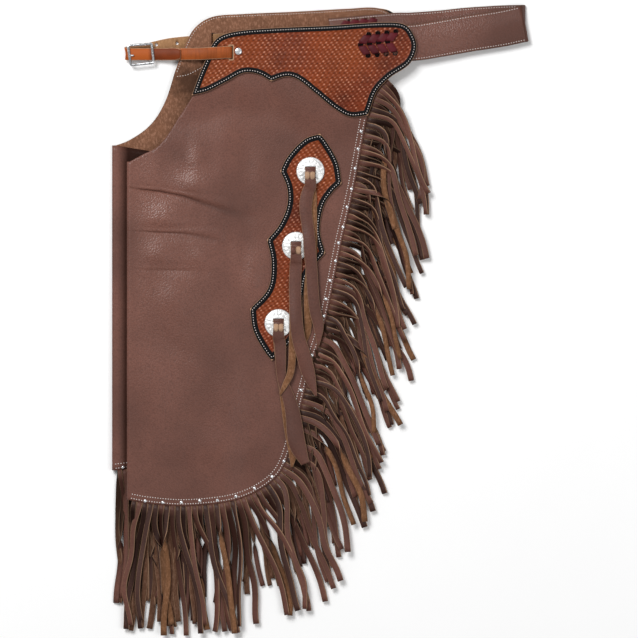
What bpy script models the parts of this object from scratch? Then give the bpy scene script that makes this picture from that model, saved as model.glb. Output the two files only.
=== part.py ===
"""Fringed leather chinks (short chaps), the two legs folded together and laid flat.

Metres, +Z up, +Y towards the waist.  The origin is under the middle of the folded garment, and
z = 0 is the surface that it lies on.  The near (left) leg lies on top, grain side up; the far
(right) leg lies underneath, flesh side up.  Tables give places in millimetres.
"""

import math

import bmesh
import bpy
from mathutils import Vector
from mathutils.geometry import delaunay_2d_cdt

MM = 0.001

# ---------------------------------------------------------------- driving sizes (metres)
LEG_THICKNESS = 0.0020
YOKE_THICKNESS = 0.0028
PATCH_THICKNESS = 0.0024
BELT_THICKNESS = 0.0030
BELT_WIDTH = 0.0508
STRAP_THICKNESS = 0.0022
STRAP_WIDTH = 0.0168
STRING_THICKNESS = 0.0016
LACE_THICKNESS = 0.0012
LACE_RIDGE = 0.0004
LAYER_GAP = 0.0004
SEAM_GAP = 0.0003

FLAP_WIDTH = 0.100
FOLD_OPENING = 0.0050
FLAP_EDGE_OPENING = 0.0005

FRINGE_STRIP_WIDTH = 0.006
FRINGE_THICKNESS = 0.0010
FRINGE_LENGTH = 0.172
FRINGE_END_GAP = 0.003    # left free at each end of a strip
STRANDS_A_LEG = 104
STRANDS_A_FLAP = 14
NEAR_STRAND_WIDTH = 0.0062
FAR_STRAND_WIDTH = 0.0042
FLAP_STRAND_WIDTH = 0.0046
STRAND_ELBOW = 0.018      # from the strip to where a strand starts to bend down
STRAND_KNEE = 0.030       # from the elbow to where it hangs its full way
ELBOW_SHARE = 0.7         # widest that a strand may be at its elbow, as a share of its root

CONCHO_RADIUS = 0.0196
CONCHO_HEIGHT = 0.0040
CONCHO_SLOT = (0.0165, 0.0050)
CONCHO_SLOT_RISE = 0.0042  # from the concho's middle up to its slot's

BUCKLE_WIRE_RADIUS = 0.0014
BUCKLE_TONGUE_RADIUS = 0.0011
BUCKLE_TONGUE_LENGTH = 0.0032
RIVET_HEAD_RADIUS = 0.0049
RIVET_HEAD_HEIGHT = 0.0018
RIVET_POST_RADIUS = 0.0020
HOLE_CLEARANCE = 0.0005
BILLET_HOLE_RADIUS = 0.0020
STRAP_BEND_RADIUS = 0.0025
CUTTER_DEPTH = 0.06

LATTICE = 0.024           # spacing of the points inside a draped panel
PANEL_STEP = 0.017        # spacing of the points round a leg's edge
FOLD_ROWS = 12            # along a leg's fold
FOLD_STEPS = 6            # round it
FLAP_STEPS = 4            # across its flap
FLAP_HEM_RISE = 0.12      # how much the flaps' hems and tops slope, for each unit of width
FLAP_TOP_FALL = 0.16
CREASE_SHARE = 0.6        # how far a crease may go down into the open space of its fold
LATTICE_CLEARANCE = 0.55  # share of the spacing kept free beside an edge

# Heights of the stacked layers, and how far a panel takes to come down beside what lifts it
SEWN_GAP = 0.0006         # between the near leg and the yoke and patch sewn on it
NEAR_LEG_REST = 0.00275   # underside of the near leg where only the far leg lies under it
YOKE_LIFT = YOKE_THICKNESS + LAYER_GAP
STRAP_LIFT = STRAP_THICKNESS + SEAM_GAP
BELT_LIFT = 0.0088
TAIL_LIFT = 0.0027
STRAP_LIFT_FROM = -0.118  # where the far yoke starts to rise over its strap, going left
STRAP_FALL = 0.075
YOKE_FALL = 0.045
BELT_FALL = 0.085
TAIL_FALL = 0.060
FLAP_FALL = 0.045
BUCKLE_HEIGHT = 0.0095
FAR_BELT_TOP = 0.0091     # where the far lacing lies on the belt
NEAR_STRAND_REST = 0.0034
NEAR_STRAND_HEM_LIFT = 0.0026
STRAND_STEP = 0.0013
LONG_STRAND_FALL = 0.060
FAR_STRAND_HEIGHTS = [0.0007, 0.0019]
NEAR_FLAP_STRAND_HEIGHT = 0.0046
FAR_FLAP_STRAND_HEIGHT = 0.0033

# ---------------------------------------------------------------- outlines (mm; corner = 1 is sharp)
# columns: x, y, corner
NEAR_CROTCH = [
    (-264.0, 219.0, 1), (-248.0, 228.0, 0), (-225.5, 240.0, 0), (-208.5, 261.0, 0),
    (-194.5, 283.5, 0), (-177.5, 309.0, 1),
]
NEAR_WAIST = [
    (-164.0, 339.5, 0), (-154.5, 362.0, 0), (-143.0, 383.0, 0), (-124.5, 394.5, 0),
    (-82.5, 401.5, 0), (-26.5, 404.5, 0), (43.5, 408.5, 0), (108.0, 410.5, 0),
    (126.0, 399.5, 0), (132.5, 378.0, 0), (122.0, 356.0, 0), (97.0, 337.5, 0),
    (79.0, 316.0, 0), (69.5, 290.0, 0),
]
NEAR_SIDE = [
    (61.5, 250.0, 0), (48.5, 180.0, 0), (31.0, 103.0, 0), (10.0, 0.5, 0), (-11.0, -68.0, 0),
    (-26.5, -128.0, 0), (-42.0, -188.5, 0), (-56.0, -217.5, 0), (-80.0, -238.0, 0),
    (-110.5, -252.0, 0), (-145.5, -259.0, 0), (-194.5, -262.0, 0), (-243.5, -257.5, 0),
    (-264.0, -253.5, 1),
]
FAR_CROTCH = [
    (-285.0, 242.0, 1), (-267.5, 248.5, 0), (-243.5, 264.0, 0), (-227.0, 282.0, 0),
    (-213.0, 308.5, 0), (-201.5, 345.0, 1),
]
FAR_WAIST = [
    (-187.5, 381.5, 0), (-173.5, 406.5, 0), (-150.0, 421.5, 0), (-110.5, 425.5, 0),
    (-26.5, 429.5, 0), (43.5, 433.5, 0), (80.0, 434.5, 0), (99.5, 426.5, 0),
    (109.0, 406.5, 0), (102.0, 381.5, 0), (78.5, 362.0, 0), (60.0, 339.5, 0), (49.5, 313.0, 0),
]
FAR_SIDE = [
    (40.5, 275.0, 0), (27.5, 208.0, 0), (10.0, 133.5, 0), (-11.0, 34.5, 0), (-32.0, -31.5, 0),
    (-47.5, -90.5, 0), (-63.0, -148.5, 0), (-77.0, -176.5, 0), (-101.0, -195.5, 0),
    (-131.5, -208.5, 0), (-166.5, -215.5, 0), (-215.5, -218.5, 0), (-264.5, -215.0, 0),
    (-285.0, -212.5, 1),
]
YOKE = [
    (-178.0, 311.5, 1), (-166.5, 342.5, 0), (-158.0, 362.0, 0), (-148.5, 384.5, 0),
    (-136.0, 395.5, 0), (-110.5, 402.0, 0), (-68.5, 405.5, 0), (15.5, 409.0, 0),
    (92.5, 413.5, 0), (120.5, 410.0, 0), (133.0, 394.0, 0), (136.0, 376.0, 0),
    (126.0, 355.0, 0), (99.5, 336.5, 0), (81.0, 317.0, 0), (71.5, 292.0, 0),
    (68.5, 283.5, 1), (43.5, 281.5, 0), (22.5, 292.0, 0), (-5.5, 314.5, 0), (-31.0, 334.0, 0),
    (-46.0, 337.5, 0), (-67.0, 331.0, 1), (-85.5, 341.0, 0), (-105.0, 342.5, 0),
    (-127.5, 331.0, 0), (-155.5, 317.0, 0),
]
PATCH = [
    (1.5, 258.5, 1), (-19.5, 251.5, 0), (-43.5, 227.5, 0), (-54.5, 206.5, 1), (-45.0, 182.5, 0),
    (-45.0, 157.5, 0), (-56.0, 131.0, 0), (-73.0, 110.0, 1), (-67.0, 79.0, 0), (-71.5, 42.5, 0),
    (-96.5, 13.5, 1), (-92.5, -16.0, 0), (-77.0, -45.5, 0), (-66.0, -59.5, 1),
    (-42.0, -37.0, 0), (-22.5, -9.0, 1), (-22.5, 26.0, 0), (-15.5, 61.0, 0), (9.0, 91.5, 1),
    (1.5, 124.0, 0), (7.0, 157.5, 0), (19.5, 177.0, 0), (32.0, 189.0, 1), (26.5, 219.0, 0),
    (10.0, 248.5, 0),
]
FAR_YOKE_SHIFT = (-0.021, 0.0205)
LAYOUT_SHIFT = (-0.0017, 0.0017, 0.0)   # brings the origin under the middle of the folded garment

# Soft troughs pressed into the near leg. columns: x0, y0, x1, y1, depth, half width (mm)
CREASES = [
    (-262.0, 184.0, -140.0, 161.0, 2.6, 11.0),
    (-262.0, 123.0, -125.0, 117.0, 2.2, 16.0),
    (-236.0, 71.0, -152.0, 66.0, 1.8, 14.0),
]

# ---------------------------------------------------------------- laid out straps (mm)
# columns: x, y, z of the middle of the leather
BELT_NEAR = [(43.5, 385.0, 13.1), (90.0, 385.0, 13.1), (133.0, 385.5, 13.0), (169.5, 391.0, 11.6),
             (211.5, 398.5, 10.4), (253.5, 405.0, 9.7), (283.5, 411.4, 9.4)]
BELT_FAR = [(283.5, 413.4, 1.5), (253.5, 412.6, 1.5), (206.0, 409.5, 1.5), (169.5, 405.5, 3.1),
            (128.0, 402.3, 7.6), (99.5, 401.5, 7.6), (15.5, 394.0, 7.6)]
# the front straps: near strap up to the yoke, then its drop below its height over the slot
STRAP_NEAR = [(-246.0, 369.5, 3.9), (-229.5, 369.5, 3.9), (-216.0, 369.5, 5.2),
              (-200.0, 369.5, 9.9), (-182.0, 369.5, 14.0)]
STRAP_OVER_YOKE = [(-166.0, 369.5, 0.8), (-155.0, 370.0, 0.0), (-138.0, 371.0, 0.0)]
BILLET_RUN = [(-180.5, 387.0, 1.1), (-208.5, 384.0, 1.1), (-229.5, 379.5, 1.1),
              (-247.0, 375.5, 1.1), (-266.5, 372.5, 1.1)]
BILLET_BACK = [(-266.5, 369.5, 6.7), (-247.0, 369.5, 6.7), (-229.0, 369.5, 6.8),
               (-214.0, 369.5, 8.7), (-200.0, 369.5, 12.8), (-193.0, 369.5, 14.4)]
BELT_FOLD_WAY = (0.9966, 0.0820)      # which way each fold bulges
BILLET_FOLD_WAY = (-0.9971, -0.0762)
CONCHOS = [(-12.0, 206.0), (-32.0, 101.5), (-56.5, -6.5)]
# A string's loop through its concho's slot and over its knot: from the concho's middle and base
# columns: y, z, width
STRING_LOOP = [
    (-20.5, 2.3, 14.5), (-15.7, 3.8, 14.5), (-8.8, 5.0, 14.5), (-1.0, 5.2, 14.5), (2.2, 4.9, 14.5),
    (3.4, 3.6, 14.5), (3.4, 2.3, 14.5), (3.7, 1.5, 14.5), (4.4, 1.2, 14.5), (5.1, 1.5, 14.5),
    (5.4, 2.3, 14.5), (5.5, 4.2, 14.5), (5.0, 6.2, 14.5), (3.2, 8.0, 14.5), (0.2, 8.8, 15.0),
    (-4.5, 8.8, 15.5), (-8.8, 8.2, 15.5), (-12.0, 7.0, 15.5), (-16.5, 6.2, 16.0),
    (-21.5, 5.0, 16.5),
]
# columns: x, y, z, width; the under tail from its tip up, then the upper tail down to its tip
UNDER_TAILS = [
    [(-19.0, -35.0, 6.0, 3.0), (-15.5, -14.0, 6.4, 10.0), (-13.5, 34.0, 8.7, 14.0),
     (-5.5, 70.0, 8.7, 14.0), (-1.0, 100.0, 8.8, 14.0), (-4.0, 124.0, 8.7, 14.0),
     (-7.5, 166.0, 8.7, 14.0), (-11.5, 180.0, 8.9, 14.5)],
    [(-54.5, -106.5, 10.2, 3.0), (-47.0, -92.0, 10.6, 8.0), (-39.0, -72.0, 10.8, 10.0),
     (-36.5, -30.0, 10.0, 11.0), (-35.5, -6.0, 12.0, 12.0), (-35.0, 18.0, 10.6, 13.0),
     (-33.0, 45.0, 8.8, 14.0), (-32.0, 75.0, 8.9, 14.5)],
    [(-38.0, -208.0, 7.6, 3.0), (-37.0, -188.0, 7.5, 11.0), (-43.0, -150.0, 5.9, 13.0),
     (-51.0, -86.0, 6.3, 13.0), (-54.5, -55.0, 9.0, 14.0), (-56.5, -33.0, 9.0, 14.5)],
]
UPPER_TAILS = [
    [(-15.0, 178.0, 11.3, 17.5), (-16.0, 166.0, 10.7, 18.0), (-13.5, 132.0, 10.9, 17.5),
     (-12.0, 110.0, 13.6, 17.5), (-11.5, 92.0, 13.4, 17.5), (-9.0, 68.0, 10.9, 17.5),
     (-6.0, 10.0, 10.6, 17.5), (0.5, -12.0, 9.4, 15.0), (-1.0, -38.0, 6.6, 3.0)],
    [(-32.5, 73.0, 10.9, 17.0), (-33.5, 45.0, 10.8, 17.0), (-33.0, 20.0, 12.6, 17.0),
     (-31.5, -6.0, 14.3, 18.0), (-28.5, -28.0, 13.4, 19.0), (-21.5, -52.0, 12.4, 20.0),
     (-14.0, -79.0, 8.6, 18.0), (-4.0, -108.5, 6.6, 3.0)],
    [(-54.5, -35.0, 11.3, 16.5), (-53.5, -60.0, 10.7, 15.0), (-51.5, -84.0, 8.3, 14.0),
     (-38.0, -126.5, 7.9, 20.0), (-31.0, -173.0, 9.6, 24.0), (-19.0, -203.0, 9.5, 12.0)],
]
LACE_HOLES = 4
LACE_FIRST = ((69.5, 396.5), (58.0, 382.0), (68.5, 367.0))   # top, middle and bottom hole (mm)
LACE_PITCH = (12.6, 1.2)
FAR_LACE_SHIFT = (-28.0, 21.0)
NEAR_SLOT = (-122.5, 371.5)
FAR_SLOT = (-146.5, 390.0)
SLOT_SIZE = (4.2, 18.6)
NEAR_STRAP_END = -100.5
FAR_STRAP_END = -124.5
BILLET_TIP = 0.72        # the billet's width at its tip, as a share of its full width
NEAR_RIVET = (-112.5, 373.0)
FAR_RIVET = (-131.5, 391.0)
BUCKLE_CORNERS = [(-267.0, 381.5), (-234.0, 384.0), (-231.0, 357.5), (-263.0, 354.0)]
BILLET_HOLES = [(-227.5, 383.0), (-198.5, 385.0)]

# Fringe: how each row of strands leans (degrees to the right of straight down) and its length.
# columns: share of the way round, lean, share of the full length, share of the full width
NEAR_FRINGE_ROWS = [
    (0.00, 28.0, 0.97, 0.52), (0.10, 27.5, 1.00, 0.55), (0.16, 27.2, 1.00, 0.85),
    (0.45, 26.5, 0.99, 0.95), (0.62, 23.0, 1.00, 1.00), (0.72, 16.0, 0.99, 1.00),
    (0.80, 9.0, 1.00, 1.00), (0.90, 5.0, 1.00, 1.00), (1.00, 3.0, 0.99, 1.00),
]
FAR_FRINGE_ROWS = [
    (0.00, 27.0, 0.97, 1.00), (0.45, 26.0, 0.98, 1.00), (0.62, 22.0, 1.00, 1.00),
    (0.72, 14.0, 1.00, 1.00), (0.80, 7.0, 1.00, 1.00), (0.90, 3.0, 1.00, 1.00),
    (0.97, -1.0, 1.00, 1.00), (1.00, -2.0, 1.00, 1.00),
]
FLAP_FRINGE_ROWS = [(0.00, 1.0, 1.0, 1.0), (1.00, 2.0, 1.0, 1.0)]
NEAR_FRINGE_START = (97.0, 337.5)
FAR_FRINGE_START = (60.0, 339.5)

# ---------------------------------------------------------------- finishes
# columns: base colour, roughness, metallic
FINISHES = {
    "grain leather": ((0.165, 0.075, 0.055), 0.55, 0.0),
    "suede flesh side": ((0.22, 0.13, 0.075), 0.9, 0.0),
    "stamped cognac": ((0.33, 0.075, 0.022), 0.4, 0.0),
    "strap cognac": ((0.30, 0.07, 0.02), 0.4, 0.0),
    "strap brown": ((0.17, 0.08, 0.055), 0.5, 0.0),
    "burgundy lace": ((0.09, 0.012, 0.018), 0.4, 0.0),
    "chrome": ((0.75, 0.75, 0.77), 0.18, 1.0),
    "silver": ((0.82, 0.82, 0.82), 0.3, 1.0),
}


# ---------------------------------------------------------------- general helpers
def ramp(value):
    """Ease from 0 to 1 as the value goes from 0 to 1."""
    t = min(1.0, max(0.0, value))
    return t * t * (3.0 - 2.0 * t)


def row_value(rows, share, column):
    """Read a column of a table at a share of the way along it."""
    for low, high in zip(rows, rows[1:]):
        if share <= high[0]:
            t = (share - low[0]) / (high[0] - low[0])
            return low[column] + (high[column] - low[column]) * t
    return rows[-1][column]


def spline(rows, step, closed):
    """Points about a step apart on a smooth curve through the rows, with its corners kept sharp."""
    points = [Vector((row[0] * MM, row[1] * MM)) for row in rows]
    corners = [bool(row[2]) for row in rows]
    count = len(points)
    result = []
    for i in range(count if closed else count - 1):
        a, b = points[i], points[(i + 1) % count]
        span = (b - a).length
        start = (b - points[i - 1]) if (closed or i > 0) and not corners[i] else (b - a)
        j = (i + 2) % count
        end_is_smooth = (closed or i + 2 < count) and not corners[(i + 1) % count]
        end = (points[j] - a) if end_is_smooth else (b - a)
        start = start.normalized() * span
        end = end.normalized() * span
        pieces = max(1, round(span / step))
        for k in range(pieces):
            t = k / pieces
            h1 = 2 * t ** 3 - 3 * t ** 2 + 1
            h2 = t ** 3 - 2 * t ** 2 + t
            h3 = -2 * t ** 3 + 3 * t ** 2
            h4 = t ** 3 - t ** 2
            result.append(a * h1 + start * h2 + b * h3 + end * h4)
    if not closed:
        result.append(points[-1])
    return result


def edge_distance(point, loop):
    """Distance from a point to the nearest side of a closed loop."""
    best = 1.0
    for a, b in zip(loop, loop[1:] + loop[:1]):
        side = b - a
        t = min(1.0, max(0.0, (point - a).dot(side) / side.length_squared))
        best = min(best, (point - a - side * t).length)
    return best


def is_inside(point, loop):
    """Whether a point lies inside a closed loop."""
    inside = False
    for a, b in zip(loop, loop[1:] + loop[:1]):
        if (a.y > point.y) != (b.y > point.y):
            if point.x < a.x + (b.x - a.x) * (point.y - a.y) / (b.y - a.y):
                inside = not inside
    return inside


def cover(point, loop, margin, fall):
    """1 over the loop and its margin, easing to 0 over the fall outside it."""
    if is_inside(point, loop):
        return 1.0
    return 1.0 - ramp((edge_distance(point, loop) - margin) / fall)


def finish_material(name):
    """The Principled material of a finish, made once."""
    if name in bpy.data.materials:
        return bpy.data.materials[name]
    colour, roughness, metallic = FINISHES[name]
    material = bpy.data.materials.new(name)
    material.use_nodes = True
    shader = material.node_tree.nodes["Principled BSDF"]
    shader.inputs["Base Color"].default_value = (*colour, 1.0)
    shader.inputs["Roughness"].default_value = roughness
    shader.inputs["Metallic"].default_value = metallic
    material.diffuse_color = (*colour, 1.0)
    return material


def add_object(name, mesh, finish, group):
    """Link a mesh as a named object with its own finish."""
    thing = bpy.data.objects.new(name, mesh)
    mesh.materials.append(finish_material(finish))
    bpy.data.collections[group].objects.link(thing)
    return thing


def from_bmesh(name, bm, finish):
    """Turn a bmesh into an object of the garment."""
    bmesh.ops.remove_doubles(bm, verts=bm.verts, dist=1e-6)
    bmesh.ops.recalc_face_normals(bm, faces=bm.faces)
    mesh = bpy.data.meshes.new(name)
    bm.to_mesh(mesh)
    bm.free()
    return add_object(name, mesh, finish, GARMENT)


def thicken(thing, thickness):
    """Give an open surface its leather thickness, half on each side."""
    solid = thing.modifiers.new("Leather thickness", "SOLIDIFY")
    solid.thickness = thickness
    solid.offset = 0.0


def cut(thing, cutter):
    """Cut a hidden cutter out of an object."""
    cutter.hide_render = True
    cutter.display_type = "WIRE"
    hole = thing.modifiers.new("Cut", "BOOLEAN")
    hole.operation = "DIFFERENCE"
    hole.solver = "EXACT"
    hole.object = cutter


# ---------------------------------------------------------------- the shapes seen from above
def rectangle(centre, size):
    """Corners of an upright rectangle, from a centre and a size in mm."""
    x, y = centre[0] * MM, centre[1] * MM
    w, h = size[0] * MM / 2, size[1] * MM / 2
    return [Vector((x - w, y - h)), Vector((x + w, y - h)), Vector((x + w, y + h)),
            Vector((x - w, y + h))]


def circle(centre, radius, sides):
    """Points round a circle, from a centre in mm and a radius in metres."""
    return [Vector((centre[0] * MM + radius * math.cos(2 * math.pi * k / sides),
                    centre[1] * MM + radius * math.sin(2 * math.pi * k / sides)))
            for k in range(sides)]


def moved(loop, shift):
    """A loop moved sideways."""
    return [point + Vector(shift) for point in loop]


YOKE_LOOP = spline(YOKE, 0.011, True)
FAR_YOKE_LOOP = moved(YOKE_LOOP, FAR_YOKE_SHIFT)
PATCH_LOOP = spline(PATCH, 0.010, True)
BELT_LOOP = rectangle((90.0, 387.0), (152.0, 64.0))
TAIL_LOOP = rectangle((-128.0, 378.0), (48.0, 36.0))

NEAR_FOLD_X = NEAR_CROTCH[0][0] * MM
FAR_FOLD_X = FAR_CROTCH[0][0] * MM
NEAR_FLAP_TOP = FAR_CROTCH[0][1] * MM


# ---------------------------------------------------------------- heights of the layers
def strap_lift(point):
    """The far yoke's front end rides over the strap that passes under it."""
    return STRAP_LIFT * (1.0 - ramp((point.x - STRAP_LIFT_FROM) / STRAP_FALL))


def far_yoke_height(point):
    """Middle of the far yoke's leather."""
    return YOKE_THICKNESS / 2 + strap_lift(point)


def far_leg_height(point):
    """Middle of the far leg's leather: over its yoke, and flat on the surface beyond it."""
    lift = (YOKE_LIFT + strap_lift(point)) * cover(point, FAR_YOKE_LOOP, LATTICE, YOKE_FALL)
    return LEG_THICKNESS / 2 + lift


def fold_opening(distance):
    """Clear space inside a folded edge, at a distance from the fold."""
    return FOLD_OPENING + (FLAP_EDGE_OPENING - FOLD_OPENING) * min(1.0, distance / FLAP_WIDTH)


def far_flap_height(point):
    """Middle of the far leg's folded flap, which lies on the far leg."""
    distance = max(0.0, point.x - FAR_FOLD_X)
    return LEG_THICKNESS * 1.5 + fold_opening(distance)


def near_flap_height(point):
    """Middle of the near leg's folded flap, which lies on the far flap."""
    return far_flap_height(point) + LEG_THICKNESS + LAYER_GAP


def crease(point):
    """Depth of the soft troughs pressed into the near leg."""
    total = 0.0
    for x0, y0, x1, y1, depth, half_width in CREASES:
        a, b = Vector((x0, y0)) * MM, Vector((x1, y1)) * MM
        t = (point - a).dot(b - a) / (b - a).length_squared
        if 0.0 < t < 1.0:
            across = (point - a - (b - a) * t).length / (half_width * MM)
            total += depth * MM * math.sin(math.pi * t) ** 0.5 * (1.0 - ramp(across))
    return total


def near_leg_height(point):
    """Middle of the near leg's leather, over everything that lies under it."""
    over_yoke = (YOKE_LIFT + strap_lift(point)) * cover(point, FAR_YOKE_LOOP, LATTICE, YOKE_FALL)
    over_belts = BELT_LIFT * cover(point, BELT_LOOP, LATTICE, BELT_FALL)
    over_tails = TAIL_LIFT * cover(point, TAIL_LOOP, LATTICE, TAIL_FALL)
    distance = max(0.0, point.x - NEAR_FOLD_X)
    flap_top = near_flap_height(point) + LEG_THICKNESS / 2 + fold_opening(distance)
    beyond = 1.0 - ramp((distance - FLAP_WIDTH - LATTICE) / FLAP_FALL)
    above = 1.0 - ramp((point.y - NEAR_FLAP_TOP) / TAIL_FALL)
    over_flaps = (flap_top - NEAR_LEG_REST) * beyond * above
    rest = NEAR_LEG_REST + LEG_THICKNESS / 2
    sunk = min(crease(point), CREASE_SHARE * fold_opening(distance)) * beyond
    return rest + over_yoke + over_belts + over_tails + over_flaps - sunk


def near_yoke_height(point):
    """Middle of the near yoke's leather, sewn on the near leg."""
    return near_leg_height(point) + LEG_THICKNESS / 2 + SEWN_GAP + YOKE_THICKNESS / 2


def patch_height(point):
    """Middle of the thigh patch's leather, sewn on the near leg."""
    return near_leg_height(point) + LEG_THICKNESS / 2 + SEWN_GAP + PATCH_THICKNESS / 2


# ---------------------------------------------------------------- panels
def lattice_points(loop, holes, spacing):
    """A triangular lattice of points inside a loop, clear of its edges and holes."""
    clear = spacing * LATTICE_CLEARANCE
    rise = spacing * math.sqrt(3) / 2
    xs = [p.x for p in loop]
    ys = [p.y for p in loop]
    result = []
    for row in range(math.floor(min(ys) / rise), math.ceil(max(ys) / rise) + 1):
        shift = spacing / 2 if row % 2 else 0.0
        for column in range(math.floor(min(xs) / spacing) - 1, math.ceil(max(xs) / spacing) + 1):
            point = Vector((column * spacing + shift, row * rise))
            if is_inside(point, loop) and edge_distance(point, loop) > clear:
                if all(edge_distance(point, hole) > clear and not is_inside(point, hole)
                       for hole in holes):
                    result.append(point)
    return result


def crease_points(loop):
    """Points along the creases and their shoulders, so that a panel can follow them."""
    result = []
    for x0, y0, x1, y1, _, half_width in CREASES:
        a, b = Vector((x0, y0)) * MM, Vector((x1, y1)) * MM
        along = (b - a).normalized()
        side = Vector((-along.y, along.x)) * half_width * MM
        count = round((b - a).length / LATTICE)
        for k in range(1, count):
            middle = a + (b - a) * (k / count)
            result += [p for p in (middle, middle + side, middle - side) if is_inside(p, loop)]
    return result


def panel_surface(bm, loop, holes, inner, height):
    """Add a panel as one surface: its outline, its holes and the points inside it."""
    points = list(loop)
    edges = []
    for hole in holes:
        first = len(points)
        points += hole
        edges += [(first + k, first + (k + 1) % len(hole)) for k in range(len(hole))]
    points += inner
    outline = list(range(len(loop)))
    flat, _, faces, _, _, _ = delaunay_2d_cdt(points, edges, [outline], 1, 1e-7)
    verts = [bm.verts.new((p.x, p.y, height(p))) for p in flat]
    for face in faces:
        centre = sum((flat[k] for k in face), Vector((0.0, 0.0))) / len(face)
        if not any(is_inside(centre, hole) for hole in holes):
            bm.faces.new([verts[k] for k in face])
    for vert in [v for v in bm.verts if not v.link_faces]:
        bm.verts.remove(vert)


def drop_crowded(points, extra, clear):
    """Leave out the lattice points that lie too close to the extra ones."""
    return [p for p in points if all((p - q).length > clear for q in extra)] + extra


def plate(name, loop, holes, spacing, height, thickness, finish):
    """A flat piece of leather, laid over what is under it."""
    bm = bmesh.new()
    panel_surface(bm, loop, holes, lattice_points(loop, holes, spacing), height)
    thing = from_bmesh(name, bm, finish)
    thicken(thing, thickness)
    return thing


def leg(name, tables, panel_height, flap_height, holes, creased, finish):
    """A leg panel whose inner-thigh edge is folded back on itself as a flap."""
    crotch, waist, side = tables
    upper = spline(crotch, PANEL_STEP, False)[:-1]
    upper += spline([crotch[-1]] + waist + side, PANEL_STEP, False)
    top_y, hem_y = crotch[0][1] * MM, side[-1][1] * MM
    fold_x = crotch[0][0] * MM
    fold_ys = [hem_y + (top_y - hem_y) * k / FOLD_ROWS for k in range(FOLD_ROWS + 1)]
    loop = upper + [Vector((fold_x, y)) for y in fold_ys[1:-1]]
    inner = lattice_points(loop, holes, LATTICE)
    if creased:
        inner = drop_crowded(inner, crease_points(loop), LATTICE * LATTICE_CLEARANCE)
    bm = bmesh.new()
    panel_surface(bm, loop, holes, inner, panel_height)
    grid = []
    for y in fold_ys:
        point = Vector((fold_x, y))
        z_panel, z_flap = panel_height(point), flap_height(point)
        half = (z_panel - z_flap) / 2
        line = []
        for k in range(FOLD_STEPS + 1):
            angle = math.pi * k / FOLD_STEPS
            line.append((fold_x - abs(half) * math.sin(angle), y,
                         (z_panel + z_flap) / 2 + half * math.cos(angle)))
        share = (y - hem_y) / (top_y - hem_y)
        for k in range(1, FLAP_STEPS + 1):
            across = FLAP_WIDTH * k / FLAP_STEPS
            drop = FLAP_TOP_FALL * across * share - FLAP_HEM_RISE * across * (1.0 - share)
            place = Vector((fold_x + across, y - drop))
            line.append((place.x, place.y, flap_height(place)))
        grid.append([bm.verts.new(p) for p in line])
    for low, high in zip(grid, grid[1:]):
        for k in range(len(low) - 1):
            bm.faces.new((low[k], low[k + 1], high[k + 1], high[k]))
    thing = from_bmesh(name, bm, finish)
    thicken(thing, LEG_THICKNESS)
    return thing


# ---------------------------------------------------------------- ribbons: belt, straps and strings
def ribbon(name, path, widths, across, thickness, finish):
    """A flat strip of leather swept along a path; across is the way its width mostly points."""
    bm = bmesh.new()
    pairs = []
    for k, (place, width) in enumerate(zip(path, widths)):
        before, after = path[max(0, k - 1)], path[min(len(path) - 1, k + 1)]
        along = (after - before).normalized()
        level = Vector((along.x, along.y, 0.0))
        side = (across - level * across.dot(level)).normalized() * width / 2
        pairs.append((bm.verts.new(place - side), bm.verts.new(place + side)))
    for low, high in zip(pairs, pairs[1:]):
        bm.faces.new((low[0], low[1], high[1], high[0]))
    thing = from_bmesh(name, bm, finish)
    thicken(thing, thickness)
    return thing


def bend(start, end, bulge, steps):
    """Points on the half round turn between two places one above the other."""
    middle, half = (start + end) / 2, (start - end) / 2
    return [middle + half * math.cos(math.pi * k / steps)
            + bulge * half.length * math.sin(math.pi * k / steps) for k in range(1, steps)]


def table_points(rows):
    """Table places (mm) as points in metres."""
    return [Vector(row[:3]) * MM for row in rows]


def make_belt():
    """The waist belt: one strip, folded at the far right, its two ends inside the two yokes."""
    near, far = table_points(BELT_NEAR), table_points(BELT_FAR)
    path = near + bend(near[-1], far[0], Vector((*BELT_FOLD_WAY, 0.0)), 6) + far
    across = Vector((-BELT_FOLD_WAY[1], BELT_FOLD_WAY[0], 0.0))
    ribbon("belt", path, [BELT_WIDTH] * len(path), across, BELT_THICKNESS, "strap brown")


def quarter(centre, start, sweep, radius, steps):
    """Points round a quarter bend in the XZ plane, from one angle and over a sweep (degrees)."""
    result = []
    for k in range(steps + 1):
        angle = math.radians(start + sweep * k / steps)
        result.append(Vector((centre.x + radius * math.cos(angle), centre.y,
                              centre.z + radius * math.sin(angle))))
    return result


def make_strap_near(top, tail_z):
    """The near front strap: from under the billet, over the yoke, and down through its slot."""
    radius = STRAP_BEND_RADIUS
    x, y = NEAR_SLOT[0] * MM, NEAR_SLOT[1] * MM
    path = table_points(STRAP_NEAR)
    path += [Vector((px * MM, py * MM, top - drop * MM)) for px, py, drop in STRAP_OVER_YOKE]
    path += quarter(Vector((x - radius, y, top - radius)), 90.0, -90.0, radius, 3)
    path += quarter(Vector((x + radius, y, tail_z + radius)), 180.0, 90.0, radius, 3)
    path.append(Vector((NEAR_STRAP_END * MM, y, tail_z)))
    strap = ribbon("strap_near", path, [STRAP_WIDTH] * len(path), Vector((0.0, 1.0, 0.0)),
                   STRAP_THICKNESS, "strap cognac")
    cut(strap, post_cutter("near post hole", NEAR_RIVET, RIVET_POST_RADIUS + HOLE_CLEARANCE))


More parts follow.
